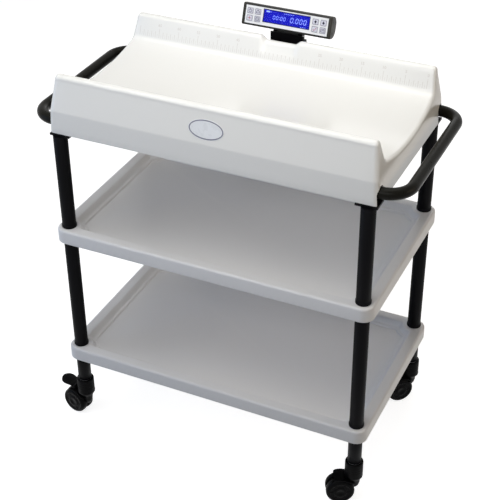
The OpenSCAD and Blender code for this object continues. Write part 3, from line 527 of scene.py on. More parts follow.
def make_ruler():
    """The length scale on the back wall: a tick every 5 mm, a number every 50 mm."""
    right, up = Vector((1, 0, 0)), Vector((0, math.sin(LEAN), math.cos(LEAN)))
    ticks = []
    for step in range(-70, 71):
        x = step * 5.0
        tall = 20.0 if step % 10 == 0 else (13.0 if step % 2 == 0 else 8.0)
        wide = 0.4 if step % 2 == 0 else 0.25
        if abs(x) < DIP_HALF:
            tall = min(tall, 13.0)
        low, high = wall_point(x, 85.0), wall_point(x, 85.0 + tall)
        verts = [(low[0] - wide, low[1], low[2]), (low[0] + wide, low[1], low[2]),
                 (high[0] + wide, high[1], high[2]), (high[0] - wide, high[1], high[2])]
        ticks.append((verts, [(0, 1, 2, 3)]))
    flat_print("scale_ticks", ticks, SCALE_INK, "tray")
    numbers = []
    for step in range(-6, 8):
        x = step * 50.0
        if abs(x) < DIP_HALF:
            continue
        words = str((7 - step) * 5)
        numbers.append(text_outline(words, 9.0, wall_point(x, 112.0), right, up))
    flat_print("scale_numbers", numbers, SCALE_INK, "tray")


def front_wall_point(x, height, lift):
    """A point at a lift off the front wall, height above the tray's bottom edge."""
    lean = math.atan2(WALL_LOW[0] - WALL_HIGH[0], WALL_HIGH[1] - WALL_LOW[1])
    y = -(WALL_LOW[0] - (height - WALL_LOW[1]) * math.tan(lean))
    return (x, y - lift * math.cos(lean), TRAY_Z + height + lift * math.sin(lean))


def make_label():
    """The blank oval plate on the front wall, with a thin ring around its face."""
    centre_x, centre_h, half_l, half_h = 1.0, 84.0, 40.0, 20.6
    steps = 64

    def oval(reach_l, reach_h, lift):
        out = []
        for k in range(steps):
            a = 2 * math.pi * k / steps
            x, height = centre_x + reach_l * math.cos(a), centre_h + reach_h * math.sin(a)
            out.append(front_wall_point(x, height, lift))
        return out

    rings = [oval(half_l, half_h, -0.2), oval(half_l, half_h, 0.35),
             oval(half_l - 0.5, half_h - 0.5, 0.6)]
    plate = loft("blank_oval_plate", rings, sharp=15.0)
    finish(plate, LABEL, "tray")
    outer, inner = oval(half_l - 0.9, half_h - 0.9, 0.68), oval(half_l - 3.5, half_h - 3.3, 0.68)
    verts = outer + inner
    faces = [(k, (k + 1) % steps, steps + (k + 1) % steps, steps + k) for k in range(steps)]
    flat_print("oval_plate_ring", [(verts, faces)], RING_INK, "tray")


# ---- Shelves --------------------------------------------------------------------------

# Points along a quarter's straight sides, round its fillets and round a leg's boss
SIDE, FILLET, BOSS = 10, 5, 12
RIM_W = 27.0
# The hollow's section: how far in from the leg's centre line, and height from the rim
HOLLOW = [(-3.0, 0.0), (-1.4, -0.25), (0.0, -0.9), (1.2, -2.0), (3.4, -5.4), (6.6, -10.8),
          (7.6, -12.2), (8.8, -13.1), (10.2, -13.5), (13.6, -13.8), (14.6, -14.2), (15.2, -15.0),
          (15.7, -16.6), (16.4, -17.6), (18.0, -18.0)]


def quadrant_points(x_line, y_line, boss_r, fillet_r):
    """A quarter of the shelf's hollow, from the right side's middle round to the back's."""
    dx = LEG_X - x_line + fillet_r
    reach = boss_r + fillet_r
    first = (x_line - fillet_r, LEG_Y - math.sqrt(reach ** 2 - dx ** 2))
    dy = LEG_Y - y_line + fillet_r
    second = (LEG_X - math.sqrt(reach ** 2 - dy ** 2), y_line - fillet_r)
    points = [(x_line, first[1] * k / SIDE) for k in range(SIDE)]
    turn = math.degrees(math.atan2(LEG_Y - first[1], LEG_X - first[0]))
    points += arc(first[0], first[1], fillet_r, 0, turn, FILLET)[:-1]
    from_a = math.degrees(math.atan2(first[1] - LEG_Y, first[0] - LEG_X)) % 360
    to_a = math.degrees(math.atan2(second[1] - LEG_Y, second[0] - LEG_X)) % 360
    points += arc(LEG_X, LEG_Y, boss_r, from_a, to_a, BOSS)
    turn = math.degrees(math.atan2(LEG_Y - second[1], LEG_X - second[0]))
    points += arc(second[0], second[1], fillet_r, turn, 90, FILLET)[1:]
    points += [(second[0] * (1 - k / SIDE), y_line) for k in range(1, SIDE)]
    return points


def outer_quadrant(inset):
    r = RIM_W - inset
    x_line, y_line = LEG_X + r, LEG_Y + r
    points = [(x_line, (y_line - r) * k / SIDE) for k in range(SIDE)]
    points += arc(x_line - r, y_line - r, r, 0, 90, 2 * FILLET + BOSS)
    points += [((x_line - r) * (1 - k / SIDE), y_line) for k in range(1, SIDE)]
    return points


def whole_loop(quadrant, z):
    """The four quadrants of a loop, from one."""
    other = [(-x, y) for x, y in reversed(quadrant)]
    half = quadrant + [(0.0, quadrant[-1][1])] + other[:-1]
    loop = half + [(-x, -y) for x, y in half]
    return [(x, y, z) for x, y in loop]


def hollow_loop(inset, z, top_z):
    fillet_r = 7.0 if inset >= 0 else 7.0 + inset
    return whole_loop(quadrant_points(LEG_X - inset, LEG_Y - inset, 26.0 + inset, fillet_r), top_z + z)


def outer_loop(inset, z, top_z):
    return whole_loop(outer_quadrant(inset), top_z + z)


def make_shelf(name, top_z, replaced):
    skirt = [(4.2, -34.0), (1.0, -34.0), (0.3, -33.7), (0.0, -32.8), (0.0, -26.0), (0.2, -12.0)]
    loops = [outer_loop(inset, z, top_z) for inset, z in skirt]
    for angle in range(0, 91, 15):
        a = math.radians(angle)
        loops.append(outer_loop(0.4 + 6.0 * (1 - math.cos(a)), -6.0 + 6.0 * math.sin(a), top_z))
    loops.append(outer_loop(9.0, 0.0, top_z))
    loops += [hollow_loop(inset, z, top_z) for inset, z in HOLLOW]
    count = len(loops[0])
    faces = ring_faces(len(loops), count)
    faces.append(tuple(range((len(loops) - 1) * count, len(loops) * count)))
    shelf = build(name, [p for loop in loops for p in loop], faces, 60.0)
    up = max(shelf.data.polygons, key=lambda p: p.area)
    if up.normal.z < 0:
        shelf.data.flip_normals()
    add_modifier(shelf, "SOLIDIFY", thickness=3.6 * MM, offset=-1.0, use_even_offset=False)
    socket = [(19.4, -4.0), (20.0, -33.0), (19.6, -33.5), (16.4, -33.5), (16.2, -11.0)]
    sockets = []
    for sx in (-1, 1):
        for sy in (-1, 1):
            place = Matrix.Translation((sx * LEG_X, sy * LEG_Y, top_z))
            sockets.append(lathe("socket", socket, 40, place))
    whole = merged(name, [shelf] + sockets, 60.0)
    return finish(whole, SHELF, "trolley", [replaced])


# ---- Legs and handles -----------------------------------------------------------------

def leg_profile(low, high, ring):
    """Half section of a length of leg tube, with a trim ring at its foot or without one."""
    r = 16.0
    foot = [(15.6, 0.0), (r, 0.5)]
    if ring:
        foot = [(16.6, 0.0), (17.1, 0.4), (17.25, 1.2), (17.25, 5.4), (17.0, 6.4), (16.5, 7.0),
                (r, 7.2)]
    profile = [(14.5, low)] + [(x, low + z) for x, z in foot]
    return profile + [(r, high - 0.5), (15.6, high), (14.5, high)]


def make_legs():
    lengths = (("top", MIDDLE_Z, PLATE_Z, True), ("mid", LOWER_Z, MIDDLE_Z - 10.0, True),
               ("foot", 115.3, LOWER_Z - 10.0, False))
    for corner, (sx, sy, _, _) in CORNERS.items():
        place = Matrix.Translation((sx * LEG_X, sy * LEG_Y, 0))
        for part, low, high, ring in lengths:
            name = "leg_%s_%s" % (corner, part)
            leg = lathe(name + "_tube", leg_profile(low, high, ring), 56, place, 40.0)
            finish(leg, BLACK, "trolley", [name])


WELD_X, WELD_Y, HANDLE_Z, HANDLE_R, BEND_R = 367.5, 190.0, 822.0, 12.7, 50.0


def handle_path():
    """The handle's centre line, from one weld round to the other."""
    path = [(WELD_X, -WELD_Y), (371.0, -WELD_Y)]
    path += arc(375.0, -140.0, BEND_R, -90, 0, 14)
    path += [(425.0, -140.0 + 280.0 * k / 12) for k in range(1, 12)]
    path += arc(375.0, 140.0, BEND_R, 0, 90, 14)
    return path + [(371.0, WELD_Y), (WELD_X, WELD_Y)]


def make_handle(side):
    path = handle_path()
    rings = []
    for k, (x, y) in enumerate(path):
        before, after = path[max(k - 1, 0)], path[min(k + 1, len(path) - 1)]
        along = Vector((after[0] - before[0], after[1] - before[1])).normalized()
        out = Vector((along.y, -along.x))
        ring = []
        for step in range(40):
            a = 2 * math.pi * step / 40
            r = HANDLE_R * math.cos(a)
            ring.append((side * (x + out.x * r), y + out.y * r, HANDLE_Z + HANDLE_R * math.sin(a)))
        rings.append(ring)
    name = "handle_" + ("left" if side < 0 else "right")
    pieces = [loft(name + "_tube", rings)]
    bead = [(12.0, 0.0), (14.6, 0.0), (14.9, 0.7), (14.5, 1.5), (13.6, 2.3), (12.7, 3.0),
            (12.0, 3.0)]
    for end in (-1, 1):
        turn = Matrix.Translation((side * WELD_X, end * WELD_Y, HANDLE_Z)) @ quarter("Y", side)
        pieces.append(lathe("weld", bead, 40, turn))
    whole = merged(name + "_tube", pieces)
    return finish(whole, HANDLE, "trolley", [name])


# ---- Casters --------------------------------------------------------------------------

WHEEL_R, WHEEL_T, TRAIL = 33.0, 16.25, 30.6
GUARD_IN, GUARD_OUT = 35.0, 37.5
PEDAL_TILT, PEDAL_END = math.radians(6.0), 18.0
PEDAL_PIN = Matrix.Translation((28.0, 0, 77.0))
TOOTH_X, TOOTH_Y = 35.5, 8.9
# Section of the pedal's tread: across and up, each from -1 to 1
PEDAL_SECTION = [(-1, -0.55), (-1, 0.35), (-0.93, 0.85), (-0.8, 1.0), (0, 0.94), (0.8, 1.0),
                 (0.93, 0.85), (1, 0.35), (1, -0.55), (0.9, -0.95), (0.7, -1.0), (0, -1.0),
                 (-0.7, -1.0), (-0.9, -0.95)]


def caster_place(corner):
    sx, sy, turn, _ = CORNERS[corner]
    turned = Matrix.Rotation(math.radians(turn), 4, "Z")
    return Matrix.Translation((sx * LEG_X, sy * LEG_Y, 0)) @ turned


def hood_rings():
    """Sections of the hood, from the collar down and back to the axle."""
    rings = []
    # Height, front, back and half width of each section
    rows = [(74.0, -21.0, 21.0, 21.0), (70.5, -20.4, 20.4, 20.2), (66.0, -17.6, 18.0, 16.4),
            (60.0, -15.6, 14.0, 12.4), (50.0, -14.8, 9.0, 10.0), (42.0, -12.6, 9.0, 8.6),
            (36.5, -9.0, 12.0, 6.5), (34.0, -4.0, 16.0, 5.0)]
    for z, front, back, half in rows:
        centre, reach = (front + back) / 2, (back - front) / 2
        ring = []
        for k in range(40):
            a = 2 * math.pi * k / 40
            c, s = (math.copysign(abs(v) ** 0.9, v) for v in (math.cos(a), math.sin(a)))
            ring.append((centre + reach * c, half * s, z))
        rings.append(ring)
    return rings


def make_housing(corner):
    place = caster_place(corner)
    braked = CORNERS[corner][3]
    collar = [(5.6, 113.2), (18.6, 114.0), (19.6, 113.8), (20.6, 112.8), (21.0, 111.4)]
    for groove in (104.0, 97.0, 90.0):
        collar += [(21.0, groove + 1.2), (20.4, groove + 0.7), (20.4, groove - 0.7),
                   (21.0, groove - 1.2)]
    collar += [(21.0, 74.0)]
    pieces = [lathe("collar", collar, 56, place, 40.0)]
    hood = loft("hood", hood_rings(), place, 50.0)
    wheels = []
    for way in (-1, 1):
        turn = place @ Matrix.Translation((TRAIL, way * 29.0, WHEEL_R)) @ quarter("X")
        reach = [(GUARD_IN + 0.4, -25.0), (GUARD_IN + 0.4, 25.0)]
        wheels.append(lathe("hood_cutter", reach, 64, turn))
    cut(hood, wheels)
    pieces.append(hood)
    spine = arc(TRAIL, WHEEL_R, 12.0, -110, 70, 18)
    spine += [(TRAIL - 4.0, WHEEL_R + 30.0), (0.0, 66.0), (-8.0, 60.0), (-11.0, 48.0), (-6.0, 38.0)]
    pieces.append(slab("spine", spine, -4.0, 4.0, place, 1.0))
    web = arc(TRAIL, WHEEL_R, 9.0, 150, 68, 1)
    web += arc(TRAIL, WHEEL_R, GUARD_IN + 1.0, 68, 150, 16)
    pieces.append(slab("web", web, -3.6, 3.6, place, 0.4))
    pieces.append(guard("mudguard", place, braked))
    if braked:
        for way in (-1, 1):
            outline = [(25.0, 69.6), (31.0, 69.6)] + arc(28.0, 77.0, 4.5, 0, 180, 12)
            pieces.append(slab("lug", outline, way * 13.5 - 1.5, way * 13.5 + 1.5, place, 0.5))
        pin = [(0.0, -16.2), (2.2, -16.2), (2.5, -15.8), (2.5, 15.8), (2.2, 16.2), (0.0, 16.2)]
        pieces.append(lathe("pedal_pin", pin, 24, place @ PEDAL_PIN @ quarter("X")))
    name = "caster_housing_" + corner
    whole = merged(name + "_body", pieces)
    return finish(whole, NYLON, "caster_" + corner, [name])


def guard(name, place, braked):
    """The curved mudguard, its edges rounded, with slots for the brake's teeth."""
    rows = []
    edge = [(GUARD_IN, -19.6), (GUARD_IN + 0.3, -20.4), (GUARD_IN + 1.2, -20.75),
            (GUARD_OUT - 0.3, -20.4), (GUARD_OUT, -19.6), (GUARD_OUT + 0.25, -10.0),
            (GUARD_OUT + 0.3, 0.0)]
    section = edge + [(r, -y) for r, y in reversed(edge[:-1])]
    section += [(GUARD_IN, 10.0), (GUARD_IN, 0.0), (GUARD_IN, -10.0)]
    for k in range(19):
        a = math.radians(66 + 86 * k / 18)
        squeeze = 1.0 - 0.25 * ease((k - 15) / 3) - 0.12 * ease((2 - k) / 2)
        rows.append([(TRAIL + r * math.cos(a), y * squeeze, WHEEL_R + r * math.sin(a))
                     for r, y in section])
    piece = loft(name, rows, place, 45.0)
    if braked:
        cut(piece, [block("slot_cutter", (11.0, 8.0, 12.0), (TOOTH_X, way * TOOTH_Y, 72.0), place,
                          edge=0) for way in (-1, 1)])
    return piece


def wheel_profile():
    """Half section from the bore round the inner face, the tread and the outer face."""
    profile = [(4.05, 0.0), (10.0, 0.0), (10.6, 0.8), (28.0, 0.8), (29.0, 0.0), (31.0, 0.0),
               (32.4, 0.4), (33.0, 1.4), (33.0, 3.6), (32.6, 4.0), (32.6, 4.8), (33.0, 5.2),
               (33.0, 8.25)]
    profile += arc(25.0, 8.25, 8.0, 0, 90, 10)[1:]
    return profile + [(24.2, WHEEL_T), (23.6, 15.9), (23.0, 15.0), (22.4, 14.8), (15.8, 14.8),
                      (15.2, 15.0), (14.6, 15.9), (14.0, 16.2), (8.0, WHEEL_T), (7.4, 15.9),
                      (7.0, 15.6), (0.0, 15.6)]


def make_wheel(corner, letter, way):
    turn = caster_place(corner) @ Matrix.Translation((TRAIL, way * 4.5, WHEEL_R))
    turn = turn @ quarter("X", -way)
    tyre = lathe("tyre", wheel_profile(), 72, turn, 40.0)
    spokes = []
    for k in range(6):
        spin = turn @ Matrix.Rotation(math.radians(60 * k), 4, "Z")
        spokes.append(block("spoke", (7.6, 2.2, 0.9), (19.2, 0.0, 15.2), spin, 0.3))
    name = "wheel_%s_%s" % (corner, letter)
    whole = merged(name + "_tyre", [tyre] + spokes)
    return finish(whole, WHEEL, name + "_body", [name])


def make_pedal(corner):
    """Brake pedal: a hub on its pin, a thick rounded tread and two teeth over the wheels."""
    place = caster_place(corner)
    profile = [(2.6, -11.6), (4.4, -11.6), (5.0, -11.0), (5.0, 11.0), (4.4, 11.6), (2.6, 11.6)]
    hub = lathe("hub", profile, 32, place @ PEDAL_PIN @ quarter("X"))
    tilted = place @ PEDAL_PIN @ Matrix.Rotation(-PEDAL_TILT, 4, "Y")
    rings = []
    # Distance from the pin and half width of each section of the tread
    stations = [(0.5, 11.4), (5.5, 11.6), (7.6, 14.6), (14.0, 15.2), (20.0, 16.4), (25.0, 17.6)]
    for k in range(9):
        a = math.radians(11.0 * k)
        stations.append((30.0 + PEDAL_END * math.sin(a), PEDAL_END * math.cos(a)))
    for x, half in stations:
        rings.append([(x, y * half, z * 3.0) for y, z in PEDAL_SECTION])
    tread = loft("tread", rings, tilted, 45.0)
    ridges = [block("ridge", (1.6, 24.0 - k * 2.0, 0.9), (20.0 + 5.0 * k, 0.0, 3.0), tilted, 0.35)
              for k in range(5)]
    teeth = [block("tooth", (5.0, 5.0, 8.8), (TOOTH_X, way * TOOTH_Y, 72.6), place, 0.5)
             for way in (-1, 1)]
    name = "brake_pedal_" + corner
    whole = merged(name + "_body", [hub, tread] + ridges + teeth)
    return finish(whole, NYLON, "pedal_%s_body" % corner, [name])


# ---- Display head ---------------------------------------------------------------------

HEAD_PLACE = (Matrix.Translation((0, PIN_Y, PIN_Z)) @ Matrix.Rotation(-HEAD_TILT, 4, "X")
              @ Matrix.Translation((0, -PIN_BACK, PIN_BELOW)))


def head_outline(inset=0.0, grooved=True):
    """The head's section, depth from the face and height, starting low on the face."""
    front_r, back_r = max(5.0 - inset, 0.6), 20.0 - inset
    low, high, back = inset, 50.0 - inset, 14.0
    points = arc(inset + front_r, low + front_r, front_r, 180, 270, 6)
    points += arc(back, low + back_r, back_r, -90, 0, 12)
    if grooved:
        for v in (22.0, 28.0):
            points += [(34.0 - inset, v - 0.9), (33.3 - inset, v - 0.5), (33.3 - inset, v + 0.5),
                       (34.0 - inset, v + 0.9)]
    points += arc(back, high - back_r, back_r, 0, 90, 12)
    points += arc(inset + front_r, high - front_r, front_r, 90, 180, 6)
    return points


def make_head():
    rings = [[(x, d, v) for d, v in head_outline()] for x in (-102.0, 102.0)]
    shell = loft("display_housing_shell", rings, HEAD_PLACE)
    cut(shell, [block("pocket_cutter", (200.4, 20.0, 40.4), (0.0, 7.0, 25.0), HEAD_PLACE, edge=0)])
    bevel(shell, 0.4, angle=50.0)
    turn = HEAD_PLACE @ Matrix.Translation((0, PIN_BACK, -PIN_BELOW)) @ quarter("Y")
    barrel = [(3.05, -25.0), (7.4, -25.0), (8.0, -24.4), (8.0, 24.4), (7.4, 25.0), (3.05, 25.0)]
    knuckle = lathe("knuckle", barrel, 40, turn)
    web = block("web", (50.0, 14.0, 24.0), (0.0, PIN_BACK, 4.0), HEAD_PLACE, 1.2)
    whole = merged("display_housing_shell", [shell, knuckle, web])
    finish(whole, HEAD, "display_head", ["display_housing"])
    for side, name in ((-1, "left"), (1, "right")):
        make_cap(side, name)


def make_cap(side, name):
    rings = []
    for x, inset in ((101.8, 0.5), (102.1, 0.0), (106.0, 0.0), (107.0, 0.25), (107.6, 0.9),
                     (107.9, 1.8), (108.0, 3.0)):
        rings.append([(side * x, d, v) for d, v in head_outline(inset, False)])
    pieces = [loft("cap", rings, HEAD_PLACE, 45.0)]
    screw = [(0.0, -0.6), (0.5, -0.4), (2.3, -0.4), (2.6, 0.05), (2.4, 0.1), (0.8, 0.1), (0.0, 0.1)]
    for v in (12.0, 38.0):
        turn = HEAD_PLACE @ Matrix.Translation((side * 107.9, 11.0, v)) @ quarter("Y", side)
        pieces.append(lathe("screw", screw, 24, turn))
    whole = merged("end_cap_%s_body" % name, pieces)
    finish(whole, CAP, "display_head", ["end_cap_" + name])


def face_outline(x, v, w, h, r=0.0):
    """A rectangle on the face, its corners rounded by r."""
    left, right, low, high = x - w / 2, x + w / 2, v - h / 2, v + h / 2
    if r <= 0:
        return [(left, low), (right, low), (right, high), (left, high)]
    points = []
    for cx, cv, start in ((right - r, low + r, -90), (right - r, high - r, 0),
                          (left + r, high - r, 90), (left + r, low + r, 180)):
        points += arc(cx, cv, r, start, start + 90, 5)
    return points


def face_shape(outline, depth):
    """A flat shape on the face, at a depth from its front."""
    verts = []
    for x, v in outline:
        p = HEAD_PLACE @ Vector((x, depth, v))
        verts.append((p.x, p.y, p.z))
    return verts, [tuple(range(len(outline)))]


def strokes(points, width, depth):
    """A line of short bars through points, as one flat shape for each."""
    out = []
    for (x0, v0), (x1, v1) in zip(points, points[1:]):
        start, stop = Vector((x0, v0)), Vector((x1, v1))
        along = (stop - start).normalized() * width / 2
        side = Vector((-along.y, along.x))
        corners = (start - along + side, start - along - side, stop + along - side,
                   stop + along + side)
        out.append(face_shape(corners, depth))
    return out


# Depth of the display's marks behind the face
MARK_DEPTH = 1.76


def zero_shapes(x, v, w, h, bar):
    """A seven-segment zero with its lower left corner at x, v."""
    gap, slant, mid = bar * 0.25, 0.12, v + h / 2
    ends = [((x, v + h), (x + w, v + h)), ((x + w, mid), (x + w, v + h)), ((x + w, v), (x + w, mid)),
            ((x, v), (x + w, v)), ((x, v), (x, mid)), ((x, mid), (x, v + h))]
    out = []
    for (x0, v0), (x1, v1) in ends:
        along = Vector((x1 - x0, v1 - v0)).normalized()
        start = Vector((x0, v0)) + along * (gap + bar / 2)
        stop = Vector((x1, v1)) - along * (gap + bar / 2)
        side = Vector((-along.y, along.x)) * bar / 2
        tip = along * bar / 2
        ring = [start - tip, start + side, stop + side, stop + tip, stop - side, start - side]
        out.append(face_shape([(p.x + (p.y - v) * slant, p.y) for p in ring], MARK_DEPTH))
    return out


def make_display_print():
    """What the lit display shows: a clock, a weight, their unit and small marks."""
    shapes = []
    for x in (22.0, 31.6, 41.2, 9.4):
        shapes += zero_shapes(x, 21.5, 5.6, 10.5, 1.5)
    marks = [(18.8, 21.6, 1.6, 1.6)]
    for x in (-33.0, -25.4, -15.2, -7.6):
        shapes += zero_shapes(x, 22.5, 4.2, 7.6, 1.1)
    marks += [(-17.6, v, 1.2, 1.2) for v in (24.4, 28.4)]
    marks += [(-46.0, 37.6, 9.0, 3.6, 0.8), (-39.0, 37.6, 1.4, 1.8, 0.3)]
    marks += [(-6.0 + k * 4.2, 38.0, 2.8, 1.0) for k in range(6)]
    marks += [(36.0 + k * 5.0, 15.2, 3.4, 0.9) for k in range(3)]
    shapes += [face_shape(face_outline(*mark), MARK_DEPTH) for mark in marks]
    flat_print("lcd_marks", shapes, SEGMENT, "display_head")


# Lines of each key's plain symbol, from the key's centre, in millimetres
SYMBOLS = {
    1: [[(1.9, 3.0), (3.4, 1.2), (3.6, -0.8), (2.4, -2.8), (0.0, -3.8), (-2.4, -2.8), (-3.6, -0.8),
         (-3.4, 1.2), (-1.9, 3.0)], [(0.0, 0.8), (0.0, 4.4)]],
    2: [[(-4.0, -2.6), (4.0, -2.6), (3.0, 1.6), (-3.0, 1.6), (-4.0, -2.6)], [(-1.2, 3.2), (1.2, 3.2)]],
    5: [[(-3.8, 0.0), (3.8, 0.0)], [(0.0, -3.6), (0.0, 3.6)]],
    6: [[(-3.4, -3.2), (-3.4, 3.2), (3.4, 3.2), (3.4, -3.2), (-3.4, -3.2)], [(-3.4, 0.0), (3.4, 0.0)]],
    7: [[(-3.6, -0.4), (-1.2, -3.2), (3.8, 3.0)]],
    8: [[(-4.2, -3.0), (-4.2, 3.0), (4.2, 3.0), (4.2, -3.0), (-4.2, -3.0)], [(-2.2, 0.6), (2.2, 0.6)]],
}


def key_symbol(number, x, v):
    """A plain symbol on each key, drawn at the key's front."""
    depth = -0.86
    if number in (3, 4):
        way = 1 if number == 3 else -1
        tip = [(x - 3.8, v - way * 0.4), (x + 3.8, v - way * 0.4), (x, v + way * 3.8)]
        stem = [(x - 1.5, v - way * 3.6), (x + 1.5, v - way * 3.6), (x + 1.5, v - way * 0.4),
                (x - 1.5, v - way * 0.4)]
        return [face_shape(outline[::way], depth) for outline in (tip, stem)]
    lines = []
    for line in SYMBOLS[number]:
        lines += strokes([(x + a, v + b) for a, b in line], 1.0, depth)
    return lines


def make_face():
    """The eight keys with their symbols, and the dark edge round the lit display."""
    columns, rows = (-89.0, -70.0, 70.0, 89.0), (33.25, 16.75)
    number = 0
    for v in rows:
        for x in columns:
            number += 1
            name, body = "key_%d" % number, "key_body_%d" % number
            rings = []
            for depth, shrink in ((3.9, 0.0), (-0.1, 0.0), (-0.5, 0.25), (-0.72, 0.7), (-0.8, 1.4)):
                outline = face_outline(x, v, 15.0 - 2 * shrink, 13.5 - 2 * shrink, 2.2 - shrink * 0.6)
                rings.append([(px, depth, pv) for px, pv in outline])
            cap = loft(name + "_cap", rings, HEAD_PLACE, 45.0)
            flange = block("flange", (17.0, 1.0, 15.5), (x, 4.7, v), HEAD_PLACE, 0.2)
            stem = block("stem", (5.0, 2.6, 4.5), (x, 6.5, v), HEAD_PLACE, 0.2)
            whole = merged(name + "_cap", [cap, flange, stem])
            finish(whole, KEY, body, [name])
            ink = RED_INK if number in (5, 7) else INK
            rim = outline_band(face_outline(x, v, 13.2, 11.7, 2.4), 0.7, -0.83)
            flat_print(name + "_rim", rim, INK, body)
            flat_print(name + "_symbol", key_symbol(number, x, v), ink, body)
    edge = outline_band(face_outline(0.0, 27.5, 112.0, 28.0), 2.0, 1.77)
    flat_print("lcd_edge", edge, LCD_EDGE, "display_head")


def outline_band(outline, width, depth):
    """A thin closed line on the face."""
    return strokes(outline + outline[:1], width, depth)


# ---- What stays from CAD --------------------------------------------------------------

def dress_cad():
    dress(BLACK, "upper_frame", "display_neck")
    dress(ALLOY, "load_cell", "tray_carrier")
    dress(RUBBER, "carrier_pads")
    dress(NYLON, "leg_joiners", "battery_pack")
    dress(STEEL, "caster_stems", "tilt_pin", *["caster_axle_" + c for c in CORNERS])
    dress(PANEL, "face_panel")
    dress(WINDOW, "display_window")
    dress(LCD, "lcd_module")
    dress(BOARD, "circuit_board")


# ---- Floor, light and camera ----------------------------------------------------------

def make_floor():
    """A pale floor that keeps the shadow and is seen as nearly white."""
    mesh = bpy.data.meshes.new("floor")
    s = 14.0
    mesh.from_pydata([(-s, -s, 0), (s, -s, 0), (s, s, 0), (-s, s, 0)], [], [(0, 1, 2, 3)])
    floor = placed("floor", mesh)
    material = bpy.data.materials.new("floor_pale")
    material.use_nodes = True
    tree = material.node_tree
    tree.nodes.clear()
    link = tree.links.new
    out = node(tree, "ShaderNodeOutputMaterial")
    matte = node(tree, "ShaderNodeBsdfDiffuse", Color=(0.62, 0.62, 0.63, 1.0))
    glow = node(tree, "ShaderNodeEmission", Color=grey(1.0))
    scaled = node(tree, "ShaderNodeMath", operation="MULTIPLY")
    scaled.inputs[1].default_value = 0.85
    link(seen_rays(tree), scaled.inputs[0])
    link(scaled.outputs[0], glow.inputs["Strength"])
    both = node(tree, "ShaderNodeAddShader")
    link(matte.outputs[0], both.inputs[0])
    link(glow.outputs[0], both.inputs[1])
    link(both.outputs[0], out.inputs["Surface"])
    mesh.materials.append(material)


def seen_rays(tree):
    """1 for rays from the camera, a gloss or a glass, 0 for those that only light things."""
    rays = node(tree, "ShaderNodeLightPath")
    total = rays.outputs["Is Camera Ray"]
    for name in ("Is Glossy Ray", "Is Transmission Ray"):
        join = node(tree, "ShaderNodeMath", operation="MAXIMUM")
        tree.links.new(total, join.inputs[0])
        tree.links.new(rays.outputs[name], join.inputs[1])
        total = join.outputs[0]
    return total


def make_world():
    world = bpy.data.worlds.new("studio")
    bpy.context.scene.world = world
    world.use_nodes = True
    tree = world.node_tree
    tree.nodes.clear()
    link = tree.links.new
    out = node(tree, "ShaderNodeOutputWorld")
    soft = node(tree, "ShaderNodeBackground", Color=grey(1.0), Strength=0.08)
    white = node(tree, "ShaderNodeBackground", Color=grey(1.0), Strength=1.0)
    mix = node(tree, "ShaderNodeMixShader")
    link(seen_rays(tree), mix.inputs["Fac"])
    link(soft.outputs[0], mix.inputs[1])
    link(white.outputs[0], mix.inputs[2])
    link(mix.outputs[0], out.inputs["Surface"])


def make_lamp(name, place, target, size, power, colour=(1, 1, 1), spread=180):
    """A soft lamp facing its target; places in metres, power in watts, spread in degrees."""
    lamp = bpy.data.lights.new(name, "AREA")
    lamp.shape = "RECTANGLE"
    lamp.size, lamp.size_y = size
    lamp.energy = power
    lamp.color = colour
    lamp.spread = math.radians(spread)
    holder = placed(name, lamp)
    holder.location = place
    holder.rotation_euler = (Vector(target) - Vector(place)).to_track_quat("-Z", "Y").to_euler()


# The camera fitted to the photograph: place in millimetres, angles in radians, its focal
# length and the middle of its picture in pixels of a picture PIXELS wide
CAMERA_PLACE = (1002.42, -2137.43, 2054.44)
YAW, PITCH, ROLL = 0.43974, 0.58589, -0.0080469
FOCAL, MIDDLE_X, MIDDLE_Y, PIXELS = 1218.42, 247.21, 242.86, 500.0
SENSOR = 36.0


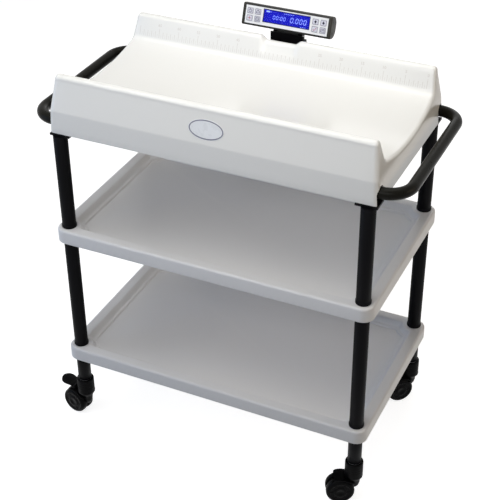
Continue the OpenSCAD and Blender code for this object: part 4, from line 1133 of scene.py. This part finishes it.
def make_camera():
    level = math.cos(PITCH)
    forward = Vector((-math.sin(YAW) * level, math.cos(YAW) * level, -math.sin(PITCH)))
    right = Vector((math.cos(YAW), math.sin(YAW), 0))
    down = forward.cross(right)
    across = right * math.cos(ROLL) - down * math.sin(ROLL)
    below = right * math.sin(ROLL) + down * math.cos(ROLL)
    camera = bpy.data.cameras.new("camera")
    camera.sensor_width = SENSOR
    camera.sensor_fit = "HORIZONTAL"
    camera.lens = FOCAL * SENSOR / PIXELS
    camera.shift_x = (PIXELS / 2 - MIDDLE_X) / PIXELS
    camera.shift_y = (MIDDLE_Y - PIXELS / 2) / PIXELS
    camera.clip_end = 100.0
    holder = placed("camera", camera)
    turn = Matrix((across, -below, -forward)).transposed()
    holder.matrix_world = Matrix.Translation(spot(*CAMERA_PLACE)) @ turn.to_4x4()
    bpy.context.scene.camera = holder


make_camera()
make_world()
make_floor()
WARM_WHITE = (1.0, 0.985, 0.93)
make_lamp("overhead", (-0.9, -1.0, 2.9), (0, 0, 0.8), (1.7, 1.7), 25.0, WARM_WHITE)
make_lamp("top_soft", (0.1, 0.1, 2.3), (0, 0, 0.8), (1.2, 1.2), 12.5, WARM_WHITE)
make_lamp("front_soft", (0.15, -1.7, 1.8), (0.05, 0, 0.97), (2.0, 0.5), 2.8, spread=70)
make_lamp("right_soft", (2.6, 0.3, 1.5), (0.3, 0, 0.7), (1.2, 1.2), 10.5, (1.0, 0.80, 0.55))
make_lamp("back_soft", (-0.5, 2.8, 1.5), (0, 0, 0.6), (1.6, 1.6), 9.0)
make_lamp("left_soft", (-2.2, -1.5, 1.0), (0, 0, 0.5), (1.3, 1.6), 9.5, (0.28, 0.54, 1.0))
make_tray()
make_ruler()
make_label()
make_shelf("middle_shelf_moulding", MIDDLE_Z, "middle_shelf")
make_shelf("lower_shelf_moulding", LOWER_Z, "lower_shelf")
make_legs()
for side in (-1, 1):
    make_handle(side)
for corner in CORNERS:
    make_housing(corner)
    make_wheel(corner, "a", 1)
    make_wheel(corner, "b", -1)
    if CORNERS[corner][3]:
        make_pedal(corner)
make_head()
make_display_print()
make_face()
dress_cad()

bpy.context.scene.view_settings.view_transform = "Standard"
